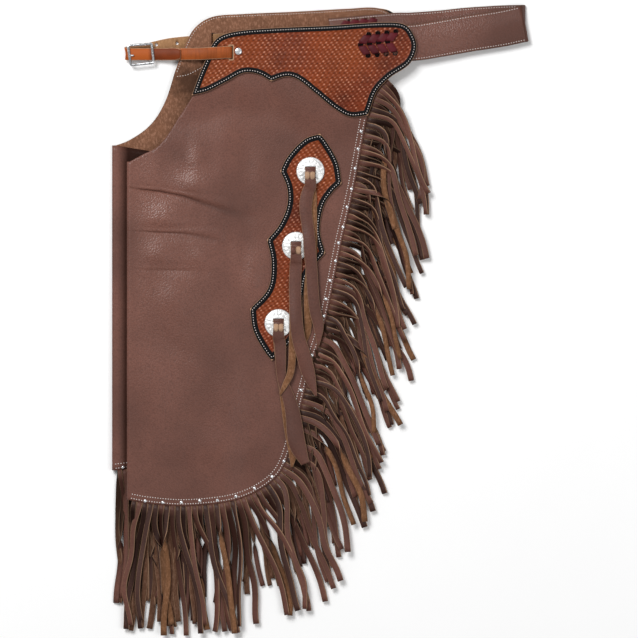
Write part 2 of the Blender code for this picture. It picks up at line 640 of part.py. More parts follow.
def make_strap_far(tail_z):
    """The far billet: through the slot, under its yoke, out to the buckle and folded back."""
    radius = STRAP_BEND_RADIUS
    run_z = STRAP_THICKNESS / 2
    x, y = FAR_SLOT[0] * MM, FAR_SLOT[1] * MM
    path = [Vector((FAR_STRAP_END * MM, y, tail_z))]
    path += quarter(Vector((x + radius, y, tail_z - radius)), 90.0, 90.0, radius, 3)
    path += quarter(Vector((x - radius, y, run_z + radius)), 0.0, -90.0, radius, 3)
    run, back = table_points(BILLET_RUN), table_points(BILLET_BACK)
    path += run + bend(run[-1], back[0], Vector((*BILLET_FOLD_WAY, 0.0)), 6) + back
    widths = [STRAP_WIDTH] * (len(path) - 1) + [STRAP_WIDTH * BILLET_TIP]
    across = Vector((BILLET_FOLD_WAY[1], -BILLET_FOLD_WAY[0], 0.0))
    strap = ribbon("strap_far", path, widths, across, STRAP_THICKNESS, "strap cognac")
    cut(strap, post_cutter("far post hole", FAR_RIVET, RIVET_POST_RADIUS + HOLE_CLEARANCE))
    for k, place in enumerate(BILLET_HOLES):
        cut(strap, post_cutter("billet hole %d" % (k + 1), place, BILLET_HOLE_RADIUS))


def make_string(number, concho, base_z):
    """A concho string: its under tail, the loop through the concho's slot and its upper tail."""
    under, upper = UNDER_TAILS[number - 1], UPPER_TAILS[number - 1]
    loop = [(concho[0], concho[1] + y, base_z / MM + z, width) for y, z, width in STRING_LOOP]
    rows = under + loop + upper
    ribbon("string_%d" % number, table_points(rows), [row[3] * MM for row in rows],
           Vector((1.0, 0.0, 0.0)), STRING_THICKNESS, "grain leather")


# ---------------------------------------------------------------- fringe
def outward_path(curve, begin, spare, count):
    """Stations an even pitch apart along an edge, just clear of it, with their outward ways."""
    lengths = [0.0]
    for a, b in zip(curve, curve[1:]):
        lengths.append(lengths[-1] + (b - a).length)
    nearest = min(range(len(curve)), key=lambda k: (curve[k] - begin).length)
    first, last = lengths[nearest] + spare, lengths[-1] - spare
    pitch = (last - first) / count
    goals = [first + pitch * k for k in range(count + 1)]
    for length in lengths[nearest + 1:-1]:
        goals[min(count, max(0, round((length - first) / pitch)))] = length
    outs = []
    for a, b in zip(curve, curve[1:]):
        along = (b - a).normalized()
        outs.append(Vector((-along.y, along.x)))
    stations = []
    at = nearest
    for goal in goals:
        while at < len(curve) - 2 and lengths[at + 1] <= goal:
            at += 1
        out = outs[at]
        if goal == lengths[at] and at > nearest:
            out = (outs[at - 1] + outs[at]).normalized()
        place = curve[at] + (curve[at + 1] - curve[at]).normalized() * (goal - lengths[at])
        stations.append((place + out * SEAM_GAP, out))
    return stations


def fringe(name, stations, rows, width, levels, height, sway, bends, finish):
    """A strip along an edge with its strands, at an even pitch.

    levels(share) gives the heights that neighbouring strands take in turn, and the length in
    which a strand comes down to its height; height(point) gives the middle of the strip.  A
    strand leaves square to the edge and bends down at its elbow, or at its elbow and its knee.
    """
    bm = bmesh.new()
    count = len(stations) - 1
    inner, outer = [], []
    for place, out in stations:
        z = height(place)
        edge = place + out * FRINGE_STRIP_WIDTH
        inner.append(bm.verts.new((place.x, place.y, z)))
        outer.append(bm.verts.new((edge.x, edge.y, z)))
    for k in range(count):
        bm.faces.new((inner[k], inner[k + 1], outer[k + 1], outer[k]))
        share = (k + 0.5) / count
        steps, fall = levels(share)
        level = steps[k % len(steps)]
        wave = math.sin(k * 2.4) + 0.6 * math.sin(k * 5.1 + 1.3)
        lean = math.radians(row_value(rows, share, 1) + sway * wave)
        length = FRINGE_LENGTH * row_value(rows, share, 2) * (1.0 + 0.022 * math.sin(k * 3.7))
        down = Vector((math.sin(lean), -math.cos(lean)))
        out = (stations[k][1] + stations[k + 1][1]).normalized()
        root = (outer[k].co.xy + outer[k + 1].co.xy) / 2
        root_z = (outer[k].co.z + outer[k + 1].co.z) / 2
        turned = (out + down).normalized()
        elbow = root + out * STRAND_ELBOW
        knee = elbow + turned * STRAND_KNEE
        bent = STRAND_ELBOW + STRAND_KNEE
        full = width * row_value(rows, share, 3)
        room = min(full, ELBOW_SHARE * (outer[k + 1].co - outer[k].co).length)
        marks = [(elbow, turned, STRAND_ELBOW, room)]
        if bends == 2:
            marks.append((knee, down, bent, full))
        marks.append((knee + down * (length - bent), down, length, full))
        pair = (outer[k], outer[k + 1])
        for place, way, travelled, wide in marks:
            side = Vector((-way.y, way.x)) * wide / 2
            z = root_z + (level - root_z) * ramp(travelled / fall)
            fresh = [bm.verts.new((p.x, p.y, z)) for p in (place + side, place - side)]
            bm.faces.new((pair[0], pair[1], fresh[1], fresh[0]))
            pair = fresh
    thing = from_bmesh(name, bm, finish)
    thicken(thing, FRINGE_THICKNESS)


def near_levels(share):
    """Near strands: three heights, higher at the left of the hem, where more lies under them."""
    left = ramp((share - 0.66) / 0.14)
    top = 1.0 - ramp(share / 0.12)
    base = NEAR_STRAND_REST + NEAR_STRAND_HEM_LIFT * left
    fall = STRAND_ELBOW + (LONG_STRAND_FALL - STRAND_ELBOW) * max(left, top)
    return [base, base + 2 * STRAND_STEP, base + STRAND_STEP], fall


def far_levels(share):
    """Far strands: two heights, on the surface and on each other."""
    return FAR_STRAND_HEIGHTS, STRAND_ELBOW


def make_fringes():
    """The four fringe strips: side and hem of each leg, and the hem of each flap."""
    near_edge = spline([NEAR_CROTCH[-1]] + NEAR_WAIST + NEAR_SIDE, PANEL_STEP, False)
    near = outward_path(near_edge, Vector(NEAR_FRINGE_START) * MM, FRINGE_END_GAP, STRANDS_A_LEG)
    fringe("fringe_near", near, NEAR_FRINGE_ROWS, NEAR_STRAND_WIDTH, near_levels,
           near_leg_height, 1.0, 2, "grain leather")
    far_edge = spline([FAR_CROTCH[-1]] + FAR_WAIST + FAR_SIDE, PANEL_STEP, False)
    far = outward_path(far_edge, Vector(FAR_FRINGE_START) * MM, FRINGE_END_GAP, STRANDS_A_LEG)
    fringe("fringe_far", far, FAR_FRINGE_ROWS, FAR_STRAND_WIDTH, far_levels,
           far_leg_height, 0.6, 1, "suede flesh side")
    for name, fold_x, hem_y, height, level in (
            ("fringe_near_flap", NEAR_FOLD_X, NEAR_SIDE[-1][1] * MM, near_flap_height,
             NEAR_FLAP_STRAND_HEIGHT),
            ("fringe_far_flap", FAR_FOLD_X, FAR_SIDE[-1][1] * MM, far_flap_height,
             FAR_FLAP_STRAND_HEIGHT)):
        edge = [Vector((fold_x + FLAP_WIDTH, hem_y + FLAP_HEM_RISE * FLAP_WIDTH)),
                Vector((fold_x, hem_y))]
        stations = outward_path(edge, edge[0], FRINGE_END_GAP, STRANDS_A_FLAP)
        fringe(name, stations, FLAP_FRINGE_ROWS, FLAP_STRAND_WIDTH,
               lambda share: ([level], LONG_STRAND_FALL), height, 0.2, 2, "grain leather")


# ---------------------------------------------------------------- hardware and lacing
def post_cutter(name, place, radius):
    """A tall hidden cylinder that cuts a round hole."""
    bm = bmesh.new()
    bmesh.ops.create_cone(bm, cap_ends=True, segments=8, radius1=radius, radius2=radius,
                          depth=CUTTER_DEPTH)
    mesh = bpy.data.meshes.new(name)
    bm.to_mesh(mesh)
    bm.free()
    thing = bpy.data.objects.new(name, mesh)
    thing.location = (place[0] * MM, place[1] * MM, 0.0)
    bpy.data.collections[CUTTERS].objects.link(thing)
    return thing


def turned(name, profile, sides, finish):
    """A turned piece: its profile, from the axis at the top to the axis at the bottom."""
    mesh = bpy.data.meshes.new(name)
    edges = [(k, k + 1) for k in range(len(profile) - 1)]
    mesh.from_pydata([(x, 0.0, z) for x, z in profile], edges, [])
    thing = add_object(name, mesh, finish, GARMENT)
    screw = thing.modifiers.new("Turn", "SCREW")
    screw.steps = sides
    screw.render_steps = sides
    screw.use_merge_vertices = True
    screw.merge_threshold = 0.00001
    return thing


def make_rivet(name, place, head_z, post_end_z, finish):
    """A screw rivet: its domed head and its post; a post that ends higher turns it over."""
    reach = abs(post_end_z - head_z)
    profile = [(0.0, RIVET_HEAD_HEIGHT), (RIVET_HEAD_RADIUS * 0.7, RIVET_HEAD_HEIGHT * 0.85),
               (RIVET_HEAD_RADIUS, RIVET_HEAD_HEIGHT * 0.3), (RIVET_HEAD_RADIUS, 0.0),
               (RIVET_POST_RADIUS, 0.0), (RIVET_POST_RADIUS, -reach), (0.0, -reach)]
    thing = turned(name, profile, 12, finish)
    thing.location = (place[0] * MM, place[1] * MM, head_z)
    if post_end_z > head_z:
        thing.rotation_euler = (math.pi, 0.0, 0.0)
    return thing


def make_concho(number, place, base_z):
    """A slotted silver dome: the string comes up through its slot."""
    radius, height = CONCHO_RADIUS, CONCHO_HEIGHT
    profile = [(0.0, height), (radius * 0.45, height * 0.92), (radius * 0.8, height * 0.62),
               (radius, 0.0007), (radius, 0.0), (0.0, 0.0)]
    thing = turned("concho_%d" % number, profile, 18, "silver")
    thing.location = (place[0] * MM, place[1] * MM, base_z)
    slot_mesh = bpy.data.meshes.new("concho slot %d" % number)
    bm = bmesh.new()
    bmesh.ops.create_cube(bm, size=1.0)
    bmesh.ops.scale(bm, verts=bm.verts, vec=(*CONCHO_SLOT, CUTTER_DEPTH))
    bm.to_mesh(slot_mesh)
    bm.free()
    slot = bpy.data.objects.new("concho slot %d" % number, slot_mesh)
    slot.location = (place[0] * MM, place[1] * MM + CONCHO_SLOT_RISE, base_z)
    bpy.data.collections[CUTTERS].objects.link(slot)
    cut(thing, slot)


def make_lacing(name, shift, height):
    """Chevron lacing: four raised laces from each middle hole to the top and bottom holes."""
    bm = bmesh.new()
    lines = []
    for x, y in LACE_FIRST:
        line = []
        for k in range(2 * LACE_HOLES + 1):
            step = (k - 1) / 2
            ridge = LACE_RIDGE if k % 2 else 0.0
            place = Vector(((x + shift[0] + LACE_PITCH[0] * step) * MM,
                            (y + shift[1] + LACE_PITCH[1] * step) * MM))
            line.append(bm.verts.new((place.x, place.y, height(place) + ridge)))
        lines.append(line)
    for low, high in zip(lines, lines[1:]):
        for k in range(2 * LACE_HOLES):
            bm.faces.new((low[k], low[k + 1], high[k + 1], high[k]))
    thing = from_bmesh(name, bm, "burgundy lace")
    thicken(thing, LACE_THICKNESS)


def wire(name, points, closed, radius, finish):
    """A round wire along a path."""
    curve = bpy.data.curves.new(name, "CURVE")
    curve.dimensions = "3D"
    curve.bevel_depth = radius
    curve.bevel_resolution = 2
    curve.use_fill_caps = not closed
    path = curve.splines.new("POLY")
    path.points.add(len(points) - 1)
    for point, place in zip(path.points, points):
        point.co = (*place, 1.0)
    path.use_cyclic_u = closed
    thing = bpy.data.objects.new(name, curve)
    curve.materials.append(finish_material(finish))
    bpy.data.collections[GARMENT].objects.link(thing)
    return thing


def make_buckle():
    """The chrome frame, and the tongue fixed on its outer bar that goes through the billet."""
    corners = [Vector((x, y)) * MM for x, y in BUCKLE_CORNERS]
    points = []
    for k, corner in enumerate(corners):
        before, after = corners[k - 1], corners[(k + 1) % 4]
        for other in (before, after):
            place = corner + (other - corner).normalized() * BUCKLE_WIRE_RADIUS
            points.append((place.x, place.y, BUCKLE_HEIGHT))
    wire("buckle_frame", points, True, BUCKLE_WIRE_RADIUS, "chrome")
    bar = (corners[0] + corners[3]) / 2
    start = Vector((bar.x + 2 * BUCKLE_WIRE_RADIUS, bar.y, BUCKLE_HEIGHT))
    end = start + Vector((BUCKLE_TONGUE_LENGTH, 0.0, -SEAM_GAP))
    wire("buckle_tongue", [start, end], False, BUCKLE_TONGUE_RADIUS, "chrome")


# ---------------------------------------------------------------- the garment
GARMENT = "Leather chinks"
CUTTERS = "Cutters"


def clear_scene():
    """Start from an empty scene, with one collection for the garment and one for its cutters."""
    for thing in list(bpy.data.objects):
        bpy.data.objects.remove(thing)
    for name in (GARMENT, CUTTERS):
        group = bpy.data.collections.new(name)
        bpy.context.scene.collection.children.link(group)


def main():
    clear_scene()
    near_slot = rectangle(NEAR_SLOT, SLOT_SIZE)
    far_slot = rectangle(FAR_SLOT, SLOT_SIZE)
    post_hole = RIVET_POST_RADIUS + HOLE_CLEARANCE
    near_holes = [near_slot, circle(NEAR_RIVET, post_hole, 8)]
    far_holes = [far_slot, circle(FAR_RIVET, post_hole, 8)]

    plate("yoke_far", FAR_YOKE_LOOP, far_holes, LATTICE, far_yoke_height, YOKE_THICKNESS,
          "stamped cognac")
    leg("leg_far", (FAR_CROTCH, FAR_WAIST, FAR_SIDE), far_leg_height, far_flap_height, far_holes,
        False, "suede flesh side")
    leg("leg_near", (NEAR_CROTCH, NEAR_WAIST, NEAR_SIDE), near_leg_height, near_flap_height,
        near_holes, True, "grain leather")
    plate("yoke_near", YOKE_LOOP, near_holes, LATTICE, near_yoke_height, YOKE_THICKNESS,
          "stamped cognac")
    plate("patch_near", PATCH_LOOP, [], LATTICE, patch_height, PATCH_THICKNESS, "stamped cognac")

    make_belt()
    near_end = Vector(NEAR_SLOT) * MM
    far_end = Vector(FAR_SLOT) * MM
    strap_over = near_yoke_height(near_end) + YOKE_THICKNESS / 2 + LAYER_GAP + STRAP_THICKNESS / 2
    strap_under = near_leg_height(near_end) - LEG_THICKNESS / 2 - LAYER_GAP - STRAP_THICKNESS / 2
    far_tail = far_leg_height(far_end) + LEG_THICKNESS / 2 + LAYER_GAP + STRAP_THICKNESS / 2
    make_strap_near(strap_over, strap_under)
    make_strap_far(far_tail)
    make_rivet("rivet_near", NEAR_RIVET, strap_over - STRAP_THICKNESS / 2, strap_under, "chrome")
    make_rivet("rivet_far", FAR_RIVET, RIVET_HEAD_HEIGHT + SEAM_GAP, far_tail, "chrome")
    make_buckle()

    for number, place in enumerate(CONCHOS, 1):
        base_z = patch_height(Vector(place) * MM) + PATCH_THICKNESS / 2 + SEAM_GAP
        make_concho(number, place, base_z)
        make_string(number, place, base_z)

    lace_middle = LACE_THICKNESS / 2 + LAYER_GAP
    make_lacing("lacing_near", (0.0, 0.0),
                lambda p: near_yoke_height(p) + YOKE_THICKNESS / 2 + lace_middle)
    make_lacing("lacing_far", FAR_LACE_SHIFT, lambda p: FAR_BELT_TOP + lace_middle)
    make_fringes()

    for group in (GARMENT, CUTTERS):
        for thing in bpy.data.collections[group].objects:
            thing.location += Vector(LAYOUT_SHIFT)


if __name__ == "__main__":
    main()
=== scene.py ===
"""Fringed leather chinks (short chaps), the two legs folded together and laid flat.

Metres, +Z up, +Y towards the waist; tables give places in millimetres.  The near leg lies on top,
grain side up, and the far leg underneath, flesh side up.
"""

import math

import bmesh
import bpy
import numpy as np
from bpy.props import FloatProperty, FloatVectorProperty, IntProperty, PointerProperty
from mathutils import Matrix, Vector
from mathutils.geometry import delaunay_2d_cdt
from mathutils.kdtree import KDTree


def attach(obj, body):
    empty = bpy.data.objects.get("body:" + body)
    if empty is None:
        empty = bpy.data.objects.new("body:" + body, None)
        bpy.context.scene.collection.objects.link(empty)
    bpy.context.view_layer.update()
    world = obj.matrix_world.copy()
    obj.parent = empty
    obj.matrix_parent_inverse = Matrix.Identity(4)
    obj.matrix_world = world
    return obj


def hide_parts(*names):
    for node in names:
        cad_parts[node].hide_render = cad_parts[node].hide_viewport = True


bl_info = {
    "name": "Leather chinks",
    "version": (1, 0, 0),
    "blender": (4, 5, 0),
    "location": "3D View > Sidebar > Chinks",
    "description": "Builds a folded pair of fringed leather chinks, piece by piece",
    "category": "Object",
}

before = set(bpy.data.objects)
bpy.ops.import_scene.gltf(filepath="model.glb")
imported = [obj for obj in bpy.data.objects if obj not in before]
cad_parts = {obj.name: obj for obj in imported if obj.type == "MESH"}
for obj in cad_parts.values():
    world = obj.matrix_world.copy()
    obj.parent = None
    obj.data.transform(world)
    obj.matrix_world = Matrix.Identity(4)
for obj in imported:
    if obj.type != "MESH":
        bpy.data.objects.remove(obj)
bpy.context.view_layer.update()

MM = 0.001
LAYOUT_SHIFT = np.array((-0.0017, 0.0017, 0.0))     # from the tables' places to the frame's
# Clear spaces between layers, and the leathers' thicknesses and widths
LAYER_GAP, SEAM_GAP, SEWN_GAP, FRINGE_GAP = 0.0004, 0.0003, 0.0006, 0.003
LEG_THICKNESS, YOKE_THICKNESS, PATCH_THICKNESS = 0.0020, 0.0028, 0.0024
BELT_THICKNESS, STRAP_THICKNESS, STRING_THICKNESS, LACE_THICKNESS = 0.0030, 0.0022, 0.0016, 0.0012
BELT_WIDTH, STRAP_WIDTH, FLAP_WIDTH, KNOT_THICKNESS = 0.0508, 0.0168, 0.100, 0.0017
# Bands of leather: how far their edges are rounded, and how far their middles stand up
BELT_EDGE, STRAP_EDGE, STRING_EDGE = (0.0007, 0.0), (0.0006, 0.0002), (0.0005, 0.0002)
FLAT_EDGE, KNOT_EDGE, LACE_EDGE = (0.0005, 0.0), (0.0006, 0.0006), (0.0004, 0.0001)
# Folded flaps: clear space at the fold and at the free edge, slope of the hem and of the top edge
FOLD_OPENING, FLAP_EDGE_OPENING, FLAP_HEM_RISE, FLAP_TOP_FALL = 0.0050, 0.0005, 0.12, 0.16
FOLD_STEPS, FLAP_STEPS, STRAND_STEPS = 12, 12, 26
# How far layers rise over what lies under them, and the lengths over which they come down again
YOKE_LIFT, STRAP_LIFT = YOKE_THICKNESS + LAYER_GAP, STRAP_THICKNESS + SEAM_GAP
BELT_LIFT, TAIL_LIFT, STRAP_LIFT_FROM = 0.0088, 0.0027, -0.118
STRAP_FALL, YOKE_FALL, BELT_FALL, TAIL_FALL, FLAP_FALL = 0.075, 0.045, 0.085, 0.060, 0.045
LATTICE, NEAR_LEG_REST, CREASE_SHARE = 0.024, 0.00275, 0.6
# Where the far flap is pressed down beside its fold: from, ease, to, ease, depth
PRESS_FROM, PRESS_EASE, PRESS_TO, PRESS_FADE, PRESS_DEPTH = 0.004, 0.013, 0.022, 0.030, 0.0034
DRAPE_CLEAR, DRAPE_EASE = 0.004, 0.030              # between swells and what is sewn on
# Beyond the near leg's edge the far leg lies in its fringe's shade; an x left of everything
SHADE_FROM, SHADE_EASE, FAR_LEFT = 0.001, 0.004, -0.4
BUCKLE_HEIGHT, FAR_BELT_TOP, STRAP_BEND_RADIUS = 0.0095, 0.0091, 0.0025
CONCHO_RADIUS, CONCHO_SLOT, CONCHO_SLOT_RISE, CONCHO_STEP = 0.0196, (15.4, 4.8), 4, 0.55
# Seams: how far inside an edge, the belt's either side of its middle, and how thick their threads
# are on the near and the far leg
YOKE_SEAM, LEG_SEAMS, BELT_SEAM = 0.0034, (0.0029, 0.0088), 0.0226
NEAR_THREAD, FAR_THREAD = 1.25, 0.84
# Stamped plates: rounded edge, drop from the border to the field, and ease and lip at a hole
BEVEL, FIELD_DROP, EDGE_DROP, HOLE_EASE, HOLE_LIP = 0.0009, 0.0003, 0.0004, 0.0018, 0.0007
# Steps along edges, seams and straps
EDGE_STEP, SEAM_STEP, ROUND_STEP, BELT_STEP, STRAP_STEP = 0.0035, 0.0020, 0.0015, 0.004, 0.0022
FILL_STEP, LACE_STEP, KNOT_STEP = 0.0015, 0.0012, 0.0008
# Stage. The lamps' columns: name, place, what each faces, size, power
CAMERA_PLACE, FRAME_WIDTH, SENSOR_WIDTH = (-0.0017, 0.0010, 6.0), 0.8932, 36.0
FLOOR_SIZE, FLOOR_Z, SKY_LIGHT = (8000, 8000), -0.0004, 0.26
LAMPS = [("key", (-1.5, 1.9, 2.9), (-0.05, 0.0, 0.0), 1.6, 122.0),
         ("fill", (2.0, -0.8, 3.0), (0.0, 0.0, 0.0), 2.2, 40.0)]

# Outlines. columns: x, y, and 1 where there is a corner
NEAR_CROTCH = [(-264, 219, 1), (-248, 228), (-225.5, 240), (-208.5, 261), (-194.5, 283.5),
               (-177.5, 309, 1)]
NEAR_WAIST = [(-164, 339.5), (-154.5, 362), (-143, 383), (-124.5, 394.5), (-82.5, 401.5),
              (-26.5, 404.5), (43.5, 408.5), (108, 410.5), (126, 399.5), (132.5, 378),
              (122, 356), (97, 337.5), (79, 316), (69.5, 290)]
NEAR_SIDE = [(61.5, 250), (48.5, 180), (31, 103), (10, 0.5), (-11, -68), (-26.5, -128),
             (-42, -188.5), (-56, -217.5), (-80, -238), (-110.5, -252), (-145.5, -259),
             (-194.5, -262), (-243.5, -257.5), (-264, -253.5, 1)]
FAR_CROTCH = [(-285, 242, 1), (-267.5, 248.5), (-243.5, 264), (-227, 282), (-213, 308.5),
              (-201.5, 345, 1)]
FAR_WAIST = [(-187.5, 381.5), (-173.5, 406.5), (-150, 421.5), (-110.5, 425.5), (-26.5, 429.5),
             (43.5, 433.5), (80, 434.5), (99.5, 426.5), (109, 406.5), (102, 381.5), (78.5, 362),
             (60, 339.5), (49.5, 313)]
FAR_SIDE = [(40.5, 275), (27.5, 208), (10, 133.5), (-11, 34.5), (-32, -31.5), (-47.5, -90.5),
            (-63, -148.5), (-77, -176.5), (-101, -195.5), (-131.5, -208.5), (-166.5, -215.5),
            (-215.5, -218.5), (-264.5, -215), (-285, -212.5, 1)]
YOKE = [(-178, 311.5, 1), (-166.5, 342.5), (-158, 362), (-148.5, 384.5), (-136, 395.5),
        (-110.5, 402), (-68.5, 405.5), (15.5, 409), (92.5, 413.5), (120.5, 410), (133, 394),
        (136, 376), (126, 355), (99.5, 336.5), (81, 317), (71.5, 292), (68.5, 283.5, 1),
        (43.5, 281.5), (22.5, 292), (-5.5, 314.5), (-31, 334), (-46, 337.5), (-67, 331, 1),
        (-85.5, 341), (-105, 342.5), (-127.5, 331), (-155.5, 317)]
PATCH = [(1.5, 258.5, 1), (-19.5, 251.5), (-43.5, 227.5), (-54.5, 206.5, 1), (-45, 182.5),
         (-45, 157.5), (-56, 131), (-73, 110, 1), (-67, 79), (-71.5, 42.5), (-96.5, 13.5, 1),
         (-92.5, -16), (-77, -45.5), (-66, -59.5, 1), (-42, -37), (-22.5, -9, 1), (-22.5, 26),
         (-15.5, 61), (9, 91.5, 1), (1.5, 124), (7, 157.5), (19.5, 177), (32, 189, 1),
         (26.5, 219), (10, 248.5)]
FAR_YOKE_SHIFT = (-0.021, 0.0205)
# The lower seam of the far yoke, sewn through the far leg. columns: x, y
FAR_YOKE_HEM = [(-199.5, 338), (-185, 340.5), (-171, 347), (-158, 354)]

# Soft troughs pressed into the near leg. columns: x0, y0, x1, y1, depth, half width
CREASES = [(-262, 184, -140, 161, 2.6, 11), (-262, 123, -125, 117, 2.2, 16),
           (-236, 71, -152, 66, 1.8, 14)]
# Wide shallow valleys, same columns
SOFT_CREASES = [(-127, 150, -128, 60, 1.6, 15), (-196, 214, -150, 186, 1.2, 14),
                (-250, -10, -170, -60, 1, 22)]
# Sharper creases on top of the soft ones. columns: x, y, depth, half width
FINE_CREASES = [
    [(-266, 183.2, 0.3, 2.2), (-243.6, 180.6, 1.5, 2.2), (-222.6, 178.5, 1.9, 2.5),
     (-190.4, 172.2, 1.8, 3.2), (-166.6, 164.5, 1.5, 5), (-138.6, 156.1, 1.3, 8),
     (-110.6, 149.1, 0.8, 11), (-78, 143, 0, 14)],
    [(-262, 122.8, 0.2, 2.2), (-222.6, 121.1, 1.1, 2.4), (-187.6, 119.7, 1, 3.2),
     (-142.8, 112.7, 0.6, 9), (-116, 107, 0, 12)],
    [(-258, 69.3, 0.1, 2.6), (-225, 68.4, 0.5, 3.4), (-190, 69, 0.5, 4.4), (-150, 68, 0, 6)],
    [(-258, -24, 0, 4), (-240, -32, 0.4, 4), (-222, -40, 0, 4)],
]
# Extra rows of points beside the sharpest creases: how far to their left (mm), their step, how
# near them other points give way, and the depth at which a crease's painted shade is darkest (m)
CREASE_ROWS = (-4.4, -3.1, -2, -1, 0, 1, 2, 3.1, 4.4, 5.8)
CREASE_STEP, CREASE_CLEAR, CREASE_DARKEST = 0.0021, 0.0012, 0.0018
# Soft swells of the near leg. columns: x, y, reach along x, reach along y, rise
SWELLS = [(-170, 188, 24, 20, 4.4), (-172, 222, 12, 22, 1.8), (-214, 142, 26, 20, 4.2),
          (-222, 90, 22, 18, 3.6), (-166, 86, 16, 13, 1.5), (-206, 26, 22, 26, 3),
          (-82, 58, 24, 46, 5), (-178, 20, 32, 150, 3.2), (-228, -92, 22, 50, 2.4),
          (-112, -96, 28, 62, 2.6), (-150, -180, 70, 22, 1.6), (-86, 190, 30, 34, 2)]
# Where the grain is rubbed and pebbly, and lighter with a painted highlight. columns: x, y,
# reach along x, reach along y, share
POLISH_AND_HIGHLIGHTS = [(-175, 230, 12, 20, 0.6), (-184, 200, 30, 20, 0.8), (-226, 150, 33, 33, 0.85),
            (-230, 99, 16, 26, 0.65), (-172, 93, 15, 20, 0.45), (-216, 36, 17, 17, 0.4),
            (-98, 52, 13, 24, 0.45), (-87, 86, 12, 22, 0.4), (-240, 214, 18, 26, 0.6),
            (-245, 60, 16, 90, 0.4), (-205, 70, 60, 160, 0.36), (-200, -60, 45, 70, 0.30),
            (-120, -110, 40, 50, 0.2)]
# Patches of painted shade on the far leg's flesh side, beside the near leg's edge and the far
# strap. columns: x, y, radius (m), share
SHADED_PATCHES = [(-186, 330, 0.027, 0.85), (-150, 352, 0.024, 0.40)]

# Belt and front straps. columns: x, y, z of the middle of the leather
BELT_NEAR = [(43.5, 385, 13.1), (90, 385, 13.1), (133, 385.5, 13), (169.5, 391, 11.6),
             (211.5, 398.5, 10.4), (253.5, 405, 9.7), (283.5, 411.4, 9.4)]
BELT_FAR = [(283.5, 413.4, 1.5), (253.5, 412.6, 1.5), (206, 409.5, 1.5), (169.5, 405.5, 3.1),
            (128, 402.3, 7.6), (99.5, 401.5, 7.6), (15.5, 394, 7.6)]
STRAP_NEAR = [(-246, 369.5, 3.9), (-229.5, 369.5, 3.9), (-216, 369.5, 5.2), (-200, 369.5, 9.9),
              (-182, 369.5, 14)]
STRAP_OVER_YOKE = [(-166, 369.5, 0.8), (-155, 370, 0), (-138, 371, 0)]    # z: drop from the top
BILLET_RUN = [(-180.5, 387, 1.1), (-208.5, 384, 1.1), (-229.5, 379.5, 1.1), (-247, 375.5, 1.1),
              (-266.5, 372.5, 1.1)]
BILLET_BACK = [(-266.5, 369.5, 6.7), (-247, 369.5, 6.7), (-229, 369.5, 6.8), (-214, 369.5, 8.7),
               (-200, 369.5, 12.8), (-193, 369.5, 14.4)]
# The belt's rubbed place has real polish and the same painted highlight in its colour
BELT_RUB_X, BELT_RUB_REACH, BELT_RUB_AND_HIGHLIGHT = 0.180, 0.050, 0.5    # where the belt is rubbed (m), how much
STRAP_RUN, TAB_DEPTH = 6, 4.5        # from a slot's bend: along the strap, and down
BELT_FOLD_WAY, BILLET_FOLD_WAY = (0.9966, 0.0820), (-0.9971, -0.0762)    # how each fold bulges
BILLET_TIP = 0.72                    # the billet's width at its tip, as a share of its full width
NEAR_SLOT, NEAR_RIVET = (-122.5, 371.5), (-112.5, 373)
FAR_SLOT, FAR_RIVET, FAR_STRAP_END = (-146.5, 390), (-131.5, 391), -124.5
NEAR_SLOT_SIZE, FAR_SLOT_SIZE, FAR_SLOT_SHIFT = (4.2, 18.6), (6, 18.6), 0.9
TAIL_SHADE, TAIL_SHADE_Y = 0.4, 0.376    # the far slot's shade on the billet's tail, above a y
RIVET_HOLE, OPEN_HOLE, BILLET_HOLE = 2.4, 1.9, 2.1
BILLET_HOLES = [(-227.5, 383), (-198.5, 385)]
BUCKLE_CORNERS = [(-267, 381.5), (-234, 384), (-231, 357.5), (-263, 354)]
BUCKLE_WIRE, TONGUE_RADIUS = (0.0038, 0.0030, 0.0024), 0.0011    # width, height, corner radius
TONGUE = [(1.2, 0), (3.2, 0.2), (6.2, 0)]    # x and z from the middle of the buckle's bar
# Turned heads. columns: radius, height; a stud's radius is a share of its whole one
RIVET_HEAD = [(0, 1.5), (2.2, 1.42), (3.7, 1.1), (4.5, 0.7), (4.9, 0.2), (4.9, -0.2)]
HOLE_DISC = [(0, 0.3), (2.9, 0.3), (2.9, -0.3)]
STUD_HEAD = [(0, 1.3), (0.35, 1.22), (0.7, 0.9), (0.92, 0.45), (1, 0), (1, -0.3)]

# Conchos, and their strings. columns: x, y, z, width
CONCHOS = [(-12, 206), (-32, 101.5), (-56.5, -6.5)]
CONCHO_DOME = [(0, 3.7), (0.45, 3.4), (0.80, 2.35), (0.90, 1.7), (0.97, 1.15), (1, 0.7)]
